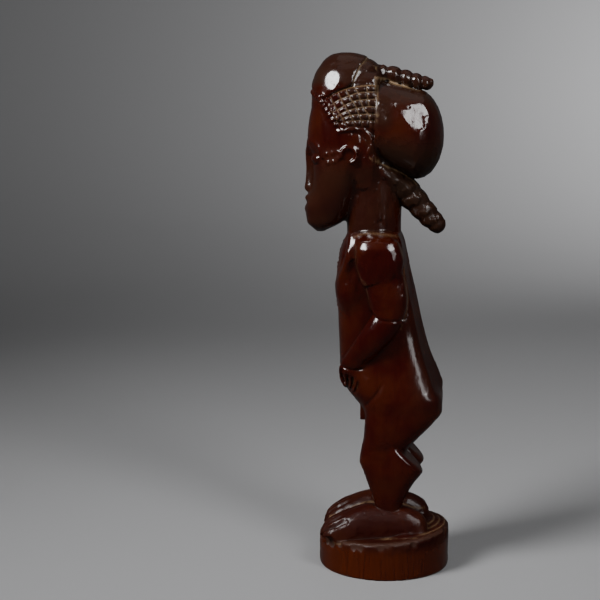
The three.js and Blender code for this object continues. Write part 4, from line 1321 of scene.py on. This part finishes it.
def bead_tree(material):
    """Sets beads along a line at an even pitch."""
    tree, given = new_tree("Beads", (("Pitch", "Float"), ("Radius", "Float")))
    curve = add_node(tree, "GeometryNodeMeshToCurve", None, {"Mesh": given["Geometry"]})
    even = add_node(tree, "GeometryNodeResampleCurve", {"mode": "LENGTH"}, {
        "Curve": curve, "Length": given["Pitch"],
    })
    bead = add_node(tree, "GeometryNodeMeshIcoSphere", None, {"Radius": given["Radius"], "Subdivisions": 3})
    string = add_node(tree, "GeometryNodeInstanceOnPoints", None, {"Points": even, "Instance": bead})
    return finish_tree(tree, string, material)


def beads(line, pitch, radius, material):
    """A string of beads along a line in millimetres, as a closed form for the wood."""
    mesh = bpy.data.meshes.new("string")
    edges = [(i, i + 1) for i in range(len(line) - 1)]
    mesh.from_pydata((line * METRES).tolist(), edges, [])
    string = new_object("string", mesh)
    along = string.modifiers.new("Beads", "NODES")
    along.node_group = bpy.data.node_groups.get("Beads") or bead_tree(material)
    set_inputs(along, {"Pitch": pitch * METRES, "Radius": radius * METRES})
    made = plain_mesh(string, "beads")
    bpy.data.objects.remove(string)
    corners = np.empty(len(made.loops), np.int32)
    made.loops.foreach_get("vertex_index", corners)
    return mesh_points(made), np.zeros((0, 4), int), corners.reshape(-1, 3)


def set_inputs(modifier, values):
    """Sets a modifier's inputs by the names that its tree gives them."""
    for item in modifier.node_group.interface.items_tree:
        if item.item_type == "SOCKET" and item.in_out == "INPUT" and item.name in values:
            modifier[item.identifier] = values[item.name]


def plain_mesh(piece, name):
    """A piece's mesh with its modifiers worked out, and the modifiers taken off."""
    bpy.context.view_layer.update()
    shown = piece.evaluated_get(bpy.context.evaluated_depsgraph_get())
    mesh = bpy.data.meshes.new_from_object(shown)
    mesh.name = name
    piece.modifiers.clear()
    return mesh


def new_object(name, mesh):
    piece = bpy.data.objects.new(name, mesh)
    bpy.context.scene.collection.objects.link(piece)
    return piece


def mesh_from(name, points, quads):
    mesh = bpy.data.meshes.new(name)
    mesh.vertices.add(len(points))
    mesh.vertices.foreach_set("co", (points * METRES).astype(np.float32).ravel())
    mesh.loops.add(quads.size)
    mesh.loops.foreach_set("vertex_index", quads.astype(np.int32).ravel())
    mesh.polygons.add(len(quads))
    mesh.polygons.foreach_set("loop_start", np.arange(0, quads.size, 4, dtype=np.int32))
    mesh.update(calc_edges=True)
    return mesh


def mesh_points(mesh):
    places = np.empty(len(mesh.vertices) * 3, np.float32)
    mesh.vertices.foreach_get("co", places)
    return places.reshape(-1, 3).astype(float) / METRES


def set_points(mesh, points):
    mesh.vertices.foreach_set("co", (points * METRES).astype(np.float32).ravel())
    mesh.update()


def set_values(mesh, name, values):
    attribute = mesh.attributes.get(name) or mesh.attributes.new(name, "FLOAT", "POINT")
    attribute.data.foreach_set("value", values.astype(np.float32))


def soft_region(points, strength, *steps):
    """A strength that comes in smoothly over each step: its axis, where it starts and where it is full."""
    share = np.full(len(points), float(strength))
    for axis, start, full in steps:
        share = share * eased(start, full, points[:, axis])
    return share


def hewn_share(points):
    """How strongly the blade's facets show at each place."""
    share = mix(HEWN_ABOVE, HEWN_BELOW, eased(*HEWN_WAIST, points[:, Z]))
    share = np.maximum(share, soft_region(points, *HEWN_FEET))
    for level, *steps in HEWN_REGIONS:
        share = mix(share, level, soft_region(points, 1.0, *steps))
    return share * (1 - HEWN_OFF_PLAITS * plaited(points)) * eased(*HEWN_OFF_FLOOR, points[:, Z])


def plaited(points):
    """1 on the plaited hair of either side, and 0 off it."""
    x, y, z = points.T
    share = np.zeros(len(points))
    low, high = PLAITED_LEVELS
    near = (z > low) & (z < high) & (y < PLAITED_BACK) & (np.abs(x) > PLAITED_SIDE)
    share[near] = eased(*PLAITED_EDGE, plait_region(y[near], z[near]))
    return share


def make_wood(finish):
    material = bpy.data.materials.new("stained_wood")
    material.use_nodes = True
    tree = material.node_tree
    tree.nodes.clear()

    def node(kind, settings=None, inputs=None, output=0):
        return add_node(tree, kind, settings, inputs, output)

    def attribute(name):
        return node("ShaderNodeAttribute", {"attribute_name": name}, None, "Fac")

    def noise(scale, detail=3.0, vector=None):
        return node("ShaderNodeTexNoise", None, {
            "Vector": vector or coordinates, "Scale": scale, "Detail": detail,
            "Roughness": NOISE_ROUGHNESS,
        })

    def colour_mix(share, a, b):
        wire = node("ShaderNodeMix", {"data_type": "RGBA"}, None, "Result")
        mixer = wire.socket.node
        sockets = [socket for socket in mixer.inputs if socket.enabled]
        connect(tree, mixer.inputs["Factor"], share)
        for socket, value in zip([s for s in sockets if s.type == "RGBA"], (a, b)):
            connect(tree, socket, value)
        return Wire(tree, [s for s in mixer.outputs if s.enabled][0])

    def painted(name):
        return (*getattr(finish, name), 1.0)

    coordinates = node("ShaderNodeTexCoord", None, None, "Object")
    stretched = vector_sum(tree, "MULTIPLY", coordinates, GRAIN_STRETCH)
    grain = noise(GRAIN_SCALE, 4.0, stretched)
    fine = noise(FINE_GRAIN_SCALE, 2.0, stretched)
    patches = noise(PATCH_SCALE)
    speck = noise(SPECK_SCALE)
    shade = (patches.between(*PATCH_STEP) * 0.8 + (grain - 0.4) * 0.6).clamped()
    # Smoky tone, partly painted light: a painted sheen on the crown and the hair, painted bounce light on
    # the nape and under the bun
    smoky = (attribute("smoky") * (0.45 + patches * 0.9)).clamped()
    level = node("ShaderNodeSeparateXYZ", None, {"Vector": coordinates}, "Z")
    bare = (level.between(*BASE_SIDE_STEP) * (grain * 1.9 - 0.15)).clamped()
    chipped = attribute("chipped")
    broken = (chipped * (0.3 + speck)).clamped()
    worn = (attribute("edge") * speck.between(*SPECK_STEP) * finish.wear).clamped()
    # Painted shade: the hollows and the gaps between the toes are darkened to stand for the shade in them
    painted_shade = (attribute("hollow") * 0.75).clamped()
    # Pale dust in the grooves, and partly painted highlights along the neckline, the arm's edges and the
    # bun's top edge
    dust_and_highlight = (attribute("dusty") * (0.45 + speck * 0.9)).clamped()
    colour = colour_mix(shade, painted("stain_dark"), painted("stain_light"))
    layers = (
        (smoky, "smoke_and_painted_light_colour"), (bare, "bare_wood"), (broken, "chipped_wood"), (worn, "worn_wood"),
        (painted_shade, "hollow_shade_colour"), (dust_and_highlight, "dust_and_highlight_colour"),
    )
    for share, name in layers:
        colour = colour_mix(share, colour, painted(name))
    rough = finish.roughness + (patches - 0.5) * 0.08 + (grain - 0.5) * 0.06 + dust_and_highlight * 0.45 + worn * 0.12
    rough = rough + smoky * 0.05 + chipped * 0.3
    height = grain * 0.6 + fine * 0.25 + speck * 0.15
    bump = node("ShaderNodeBump", None, {
        "Strength": finish.grain_bump, "Distance": BUMP_HEIGHT, "Height": height,
    })
    polished = node("ShaderNodeBsdfPrincipled", None, {
        "Base Color": colour, "Roughness": rough.clamped(), "Normal": bump, "IOR": WOOD_IOR,
    })
    grimy = node("ShaderNodeBsdfPrincipled", None, {
        "Base Color": colour, "Roughness": GRIME_ROUGHNESS, "Normal": bump,
        "Specular IOR Level": GRIME_SHINE,
    })
    shader = node("ShaderNodeMixShader", None, {0: attribute("dull"), 1: polished, 2: grimy})
    end = tree.nodes.new("ShaderNodeOutputMaterial")
    connect(tree, end.inputs["Surface"], shader)
    return material


def lay_dust_and_highlight(dust_and_highlight, places, line, width, strength, low, high, steps=()):
    """Adds a pale line of dust, on some lines partly a painted highlight, along a line seen from the side,
    to the places inside a box.
    """
    close = np.all((places >= low) & (places <= high), axis=1)
    spots = places[close]
    gap, weight = path_gap(line, spots[:, Y], spots[:, Z], samples=30)
    amount = soft_region(spots, strength, *steps) * weight * np.exp(-((gap / width) ** 2))
    dust_and_highlight[close] = np.maximum(dust_and_highlight[close], amount)


def dust_and_highlight_share(points):
    """How dusty the lines and the heel steps are, on both sides alike; some of the lines are partly painted
    highlights.
    """
    x, y, z = points.T
    dust_and_highlight = np.zeros(len(points))
    places = np.column_stack([np.abs(x), y, z])
    for line in plait_lines():
        lay_dust_and_highlight(dust_and_highlight, places, line, *PLAIT_DUST)
    for line in DUST_AND_HIGHLIGHT_LINES:
        lay_dust_and_highlight(dust_and_highlight, places, *line)
    out = np.hypot(x, y - HEEL_STEP_MIDDLE)
    for i in range(HEEL_STEPS):
        gap = out - HEEL_STEP_REACH + i * HEEL_STEP_WIDTH - STEP_DUST_OUT
        ring = soft_region(points, *STEP_DUST) * np.exp(-((gap / STEP_DUST_WIDTH) ** 2))
        dust_and_highlight = np.maximum(dust_and_highlight, ring * (z < base_top(y) + STEP_DUST_HIGH))
    return dust_and_highlight


def chipped_share(points):
    """1 where a chip in the rim of the base shows bare wood."""
    x, y, z = points.T
    below = base_top(y) - z
    inset = BASE_RADIUS - np.hypot(x, y)
    start = mix(*CHIP_START, eased(1, 3, below))
    inward = eased(start, start + CHIP_SOFT, inset) * eased(*CHIP_INNER, inset)
    return inward * eased(*CHIP_OVER, below) * eased(*CHIP_UNDER, below)


def paint(wood, mesh):
    """Records at each point how hollow it is (for painted shade), how sharp, how smoky (partly painted sheen
    and bounce light) and how dusty (partly painted highlights).
    """
    points = mesh_points(mesh)
    x, y, z = points.T
    field = np.clip(wood.field, -BLUR_LIMIT, BLUR_LIMIT)
    near = wood.read(blurred(field, EDGE_BLUR / wood.step), points)
    wide = wood.read(blurred(field, HOLLOW_SHADE_BLUR / wood.step), points)
    hair = plaited(points)
    # Smoky tone: on the crown and the hair partly a painted sheen, on the nape and under the bun partly
    # painted bounce light
    crown = CROWN_SMOKE_AND_SHEEN * np.maximum(eased(*CROWN_SMOKE_AND_SHEEN_FROM, z), soft_region(points, *HAIR_SMOKE_AND_SHEEN))
    crown *= 1 - soft_region(points, *BUN_CLEARING)
    nape = eased(*NAPE_SMOKE_AND_BOUNCE_FROM, z) * eased(*NAPE_SMOKE_AND_BOUNCE_EDGE, y - (NAPE_LEVEL - z) * NAPE_LEAN)
    neck, spine, foot, grimy_foot, temple = (
        soft_region(points, *region)
        for region in (NECK_SMOKE, SPINE_SMOKE, FOOT_SMOKE, FOOT_GRIME, TEMPLE_GRIME)
    )
    set_values(mesh, "dull", np.max([grimy_foot, temple, NAPE_GRIME * nape, HAIR_GRIME * hair], axis=0))
    nape = nape * eased(*NAPE_SMOKE_AND_BOUNCE_END, z)
    set_values(mesh, "smoky", np.max([crown, nape, neck, spine, foot], axis=0))
    # Painted shade, darker in the hollows and in the gaps between the toes
    hollow = eased(*HOLLOW_SHADE_STEP, -wide) * (1 - hair)
    for path in toe_gaps():
        gap, weight = path_gap(path, np.abs(x), y)
        between = weight * np.exp(-((gap / TOE_GAP_SHADE_WIDTH) ** 2)) * (z > base_top(y) + 0.5)
        between = between * (z < TOE_GAP_SHADE_TOP)
        hollow = np.maximum(hollow, between)
    set_values(mesh, "hollow", hollow)
    set_values(mesh, "chipped", chipped_share(points))
    set_values(mesh, "edge", eased(*EDGE_STEP, near))
    dirt = DIRT_STRENGTH * eased(*DIRT_STEP, -near) * (1 - hair)
    # Dust, with the pale lines that are partly painted highlights
    set_values(mesh, "dusty", np.maximum(dust_and_highlight_share(points), dirt))


class FigureSizes(bpy.types.PropertyGroup):
    grid_step: FloatProperty(
        name="Grid Step", description="Width of the grid the wood is carved on, in millimetres",
        default=0.6, min=0.3,
    )
    reach: FloatProperty(
        name="Reach", description="How far from the wood distances are kept, in millimetres",
        default=8.0, min=2.0,
    )
    groove_width: FloatProperty(
        name="Hair Groove", description="Half width of the grooves in the hair, in millimetres",
        default=1.1, min=0.4,
    )
    softness: FloatProperty(
        name="Softness", description="How far the edges are rubbed down, in millimetres",
        default=0.45, min=0.1,
    )
    facet_size: FloatProperty(
        name="Facet Size", description="Width of the facets left by the blade",
        default=0.0042, unit="LENGTH",
    )
    facet_depth: FloatProperty(
        name="Facet Depth", description="How flat the facets are cut",
        default=1.0, min=0.0, subtype="FACTOR",
    )
    facet_length: FloatProperty(
        name="Facet Length", description="Length of a facet over its width", default=1.5, min=1.0
    )
    unevenness: FloatProperty(
        name="Unevenness", description="How far the hand strays from the form",
        default=0.0004, unit="LENGTH",
    )
    triangles: IntProperty(
        name="Triangles", description="The most triangles that the carving may have",
        default=194000, min=1000,
    )
    seed: IntProperty(name="Seed", description="Sets where the facets and the chips fall", default=7)


class WoodFinish(bpy.types.PropertyGroup):
    stain_dark: FloatVectorProperty(
        name="Dark Stain", description="Colour where the stain is thick", subtype="COLOR", size=3,
        default=(0.0170, 0.0004, 0.0001), min=0.0, max=1.0,
    )
    stain_light: FloatVectorProperty(
        name="Light Stain", description="Colour where the stain is thin", subtype="COLOR", size=3,
        default=(0.0310, 0.0042, 0.0006), min=0.0, max=1.0,
    )
    # Colour of the smoky stain, which also stands for a painted sheen on the crown and the hair and painted
    # bounce light under the bun and on the nape
    smoke_and_painted_light_colour: FloatVectorProperty(
        name="Smoky Stain", description="Colour of the dull stain on the hair, the nape and the back",
        subtype="COLOR", size=3, default=(0.0150, 0.0066, 0.0034), min=0.0, max=1.0,
    )
    bare_wood: FloatVectorProperty(
        name="Base Side", description="Colour of the base's upright side", subtype="COLOR", size=3,
        default=(0.0460, 0.0070, 0.0008), min=0.0, max=1.0,
    )
    chipped_wood: FloatVectorProperty(
        name="Chips", description="Colour where the rim of the base is chipped", subtype="COLOR", size=3,
        default=(0.036, 0.0150, 0.0095), min=0.0, max=1.0,
    )
    worn_wood: FloatVectorProperty(
        name="Worn Wood", description="Colour of rubbed edges", subtype="COLOR", size=3,
        default=(0.13, 0.05, 0.02), min=0.0, max=1.0,
    )
    # Colour of the painted shade in the hollows and between the toes
    hollow_shade_colour: FloatVectorProperty(
        name="Hollows", description="Colour deep in the hollows", subtype="COLOR", size=3,
        default=(0.008, 0.0026, 0.0015), min=0.0, max=1.0,
    )
    # Colour of the dust, also used for the painted highlight lines
    dust_and_highlight_colour: FloatVectorProperty(
        name="Dust", description="Colour of the dust in the grooves", subtype="COLOR", size=3,
        default=(0.20, 0.125, 0.062), min=0.0, max=1.0,
    )
    wear: FloatProperty(
        name="Wear", description="How much of the edges is rubbed",
        default=0.25, min=0.0, max=1.0, subtype="FACTOR",
    )
    roughness: FloatProperty(
        name="Roughness", description="Roughness of the polished wood", default=0.155, min=0.0, max=1.0,
        subtype="FACTOR",
    )
    grain_bump: FloatProperty(
        name="Grain", description="Strength of the fine grain",
        default=0.35, min=0.0, max=1.0, subtype="FACTOR",
    )


class StageSettings(bpy.types.PropertyGroup):
    floor_radius: FloatProperty(
        name="Floor Radius", description="Radius of the flat floor", default=1.6, unit="LENGTH"
    )
    cove_radius: FloatProperty(
        name="Cove Radius", description="Radius of the bend from floor to wall",
        default=2.2, unit="LENGTH",
    )
    wall_height: FloatProperty(
        name="Wall Height", description="Height of the backdrop", default=2.6, unit="LENGTH"
    )
    floor_colour: FloatVectorProperty(
        name="Floor Colour", description="Colour of the floor and backdrop", subtype="COLOR", size=3,
        default=(0.25, 0.25, 0.255), min=0.0, max=1.0,
    )
    key_power: FloatProperty(
        name="Key Light", description="Power of the main light in watts", default=6.8, min=0.0,
    )
    side_power: FloatProperty(
        name="Side Light", description="Power of the second light in watts", default=11.0, min=0.0,
    )
    low_power: FloatProperty(
        name="Low Light", description="Power of the low side light in watts", default=2.4, min=0.0,
    )
    back_power: FloatProperty(
        name="Back Light", description="Power of the light behind in watts", default=3.0, min=0.0,
    )
    top_power: FloatProperty(
        name="Top Light", description="Power of the light above in watts", default=2.6, min=0.0,
    )
    wall_power: FloatProperty(
        name="Wall Light", description="Power of the backdrop's light in watts", default=32.0, min=0.0,
    )
    sky_level: FloatProperty(name="Room Light", description="Brightness of the room", default=0.055, min=0.0)


class FIGURE_OT_carving(bpy.types.Operator):
    """Carves the whole figure from one block of wood"""
    bl_idname = "figure.carving"
    bl_label = "Carved Figure"

    def execute(self, context):
        settings = context.scene.figure_sizes
        material = make_wood(context.scene.wood_finish)
        wood = carve(settings, material)
        wood.field = wood.softened(settings.softness)
        points, quads = wood.mesh()
        piece = new_object(PIECE_NAME, mesh_from(PIECE_NAME, points, quads))
        set_values(piece.data, "hewn", hewn_share(points))
        marks = piece.modifiers.new("Tool marks", "NODES")
        marks.node_group = tool_marks_tree(material)
        set_inputs(marks, {
            "Facet Size": settings.facet_size,
            "Facet Depth": settings.facet_depth,
            "Facet Length": settings.facet_length,
            "Unevenness": settings.unevenness,
            "Seed": settings.seed,
        })
        thinner = piece.modifiers.new("Thinner", "DECIMATE")
        thinner.ratio = min(1.0, settings.triangles / (2 * len(quads)))
        mesh = plain_mesh(piece, PIECE_NAME)
        piece.data = mesh
        points = mesh_points(mesh)
        keep_inside(points)
        set_points(mesh, points)
        for name in ("hewn", "facing"):
            mesh.attributes.remove(mesh.attributes[name])
        paint(wood, mesh)
        mesh.shade_smooth()
        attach(piece, "root")
        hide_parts("carved_figure")
        return {"FINISHED"}


def keep_inside(points):
    """Holds the carved surface inside the box of the plain solid, and its underside flat."""
    low = np.array(CAD_BOX[0]) / METRES
    high = np.array(CAD_BOX[1]) / METRES
    np.clip(points, low, high, out=points)
    points[points[:, Z] < UNDERSIDE_LEVEL, Z] = 0


def backdrop_mesh(settings):
    """A flat floor that bends up all round into a wall."""
    profile = [(0.02, 0.0), (0.3, 0.0), (settings.floor_radius, 0.0)]
    for k in range(1, COVE_STEPS + 1):
        bend = math.pi / 2 * k / COVE_STEPS
        out = settings.floor_radius + settings.cove_radius * math.sin(bend)
        profile.append((out, settings.cove_radius * (1 - math.cos(bend))))
    profile.append((profile[-1][0], settings.wall_height))
    points = []
    for radius, height in profile:
        for side in range(FLOOR_SIDES):
            angle = 2 * math.pi * side / FLOOR_SIDES
            points.append((radius * math.cos(angle), radius * math.sin(angle), height))
    faces = [tuple(range(FLOOR_SIDES))]
    for row in range(len(profile) - 1):
        for side in range(FLOOR_SIDES):
            here = row * FLOOR_SIDES + side
            after = row * FLOOR_SIDES + (side + 1) % FLOOR_SIDES
            faces.append((here, here + FLOOR_SIDES, after + FLOOR_SIDES, after))
    mesh = bpy.data.meshes.new("stage_floor")
    mesh.from_pydata(points, [], faces)
    mesh.shade_smooth()
    return mesh


def floor_paint(settings):
    material = bpy.data.materials.new("pale_floor")
    material.use_nodes = True
    shader = material.node_tree.nodes["Principled BSDF"]
    shader.inputs["Base Color"].default_value = (*settings.floor_colour, 1.0)
    shader.inputs["Roughness"].default_value = 0.85
    shader.inputs["Specular IOR Level"].default_value = 0.2
    return material


def add_lamp(settings, name, at, aim, size, spread):
    data = bpy.data.lights.new(f"{name}_light", "AREA")
    data.shape = "RECTANGLE"
    data.size, data.size_y = size
    data.energy = getattr(settings, f"{name}_power")
    data.spread = math.radians(spread)
    lamp = new_object(f"{name}_light", data)
    lamp.location = at
    ahead = [a - b for a, b in zip(aim, at)]
    level = math.hypot(ahead[0], ahead[1])
    lamp.rotation_euler = (math.atan2(level, -ahead[2]), 0, math.atan2(ahead[1], ahead[0]) - math.pi / 2)
    lamp.visible_camera = False
    lamp.visible_glossy = name not in NO_GLINT_LIGHTS


def add_room(scene, level):
    scene.world = bpy.data.worlds.new("room")
    scene.world.use_nodes = True
    background = scene.world.node_tree.nodes["Background"]
    background.inputs["Color"].default_value = (1.0, 1.0, 1.0, 1.0)
    background.inputs["Strength"].default_value = level


def add_camera(scene):
    lens = bpy.data.cameras.new("camera")
    lens.lens = CAMERA_LENS
    lens.sensor_width = 36.0
    lens.clip_start = 0.01
    camera = new_object("camera", lens)
    camera.location = CAMERA_AT
    camera.rotation_euler = Euler([math.radians(turn) for turn in CAMERA_TURN])
    scene.camera = camera


class FIGURE_OT_stage(bpy.types.Operator):
    """Makes the pale floor with its backdrop, the lights and the camera"""
    bl_idname = "figure.stage"
    bl_label = "Stage"

    def execute(self, context):
        settings = context.scene.stage_settings
        mesh = backdrop_mesh(settings)
        mesh.materials.append(floor_paint(settings))
        floor = new_object("stage_floor", mesh)
        floor.visible_glossy = False
        for light in LIGHTS:
            add_lamp(settings, *light)
        add_room(context.scene, settings.sky_level)
        add_camera(context.scene)
        return {"FINISHED"}


class FIGURE_PT_panel(bpy.types.Panel):
    """Shows the settings of the figure, its wood and its stage, with the buttons that build the figure and
    the stage
    """
    bl_idname = "FIGURE_PT_panel"
    bl_label = "Carved Figure"
    bl_space_type = "VIEW_3D"
    bl_region_type = "UI"
    bl_category = "Figure"

    def draw(self, context):
        scene = context.scene
        for group, operators in PANEL_ROWS:
            box = self.layout.box()
            settings = getattr(scene, group)
            for name in settings.__annotations__:
                box.prop(settings, name)
            for operator in operators:
                box.operator(operator)


PANEL_ROWS = (
    ("figure_sizes", ("figure.carving",)),
    ("wood_finish", ()),
    ("stage_settings", ("figure.stage",)),
)
GROUPS = (("figure_sizes", FigureSizes), ("wood_finish", WoodFinish), ("stage_settings", StageSettings))
CLASSES = (FigureSizes, WoodFinish, StageSettings, FIGURE_OT_carving, FIGURE_OT_stage, FIGURE_PT_panel)


def register():
    for item in CLASSES:
        bpy.utils.register_class(item)
    for name, group in GROUPS:
        setattr(bpy.types.Scene, name, PointerProperty(type=group))


def unregister():
    for name, _ in GROUPS:
        delattr(bpy.types.Scene, name)
    for item in reversed(CLASSES):
        bpy.utils.unregister_class(item)


def main():
    register()
    bpy.ops.figure.stage()
    bpy.ops.figure.carving()


if __name__ == "__main__":
    main()
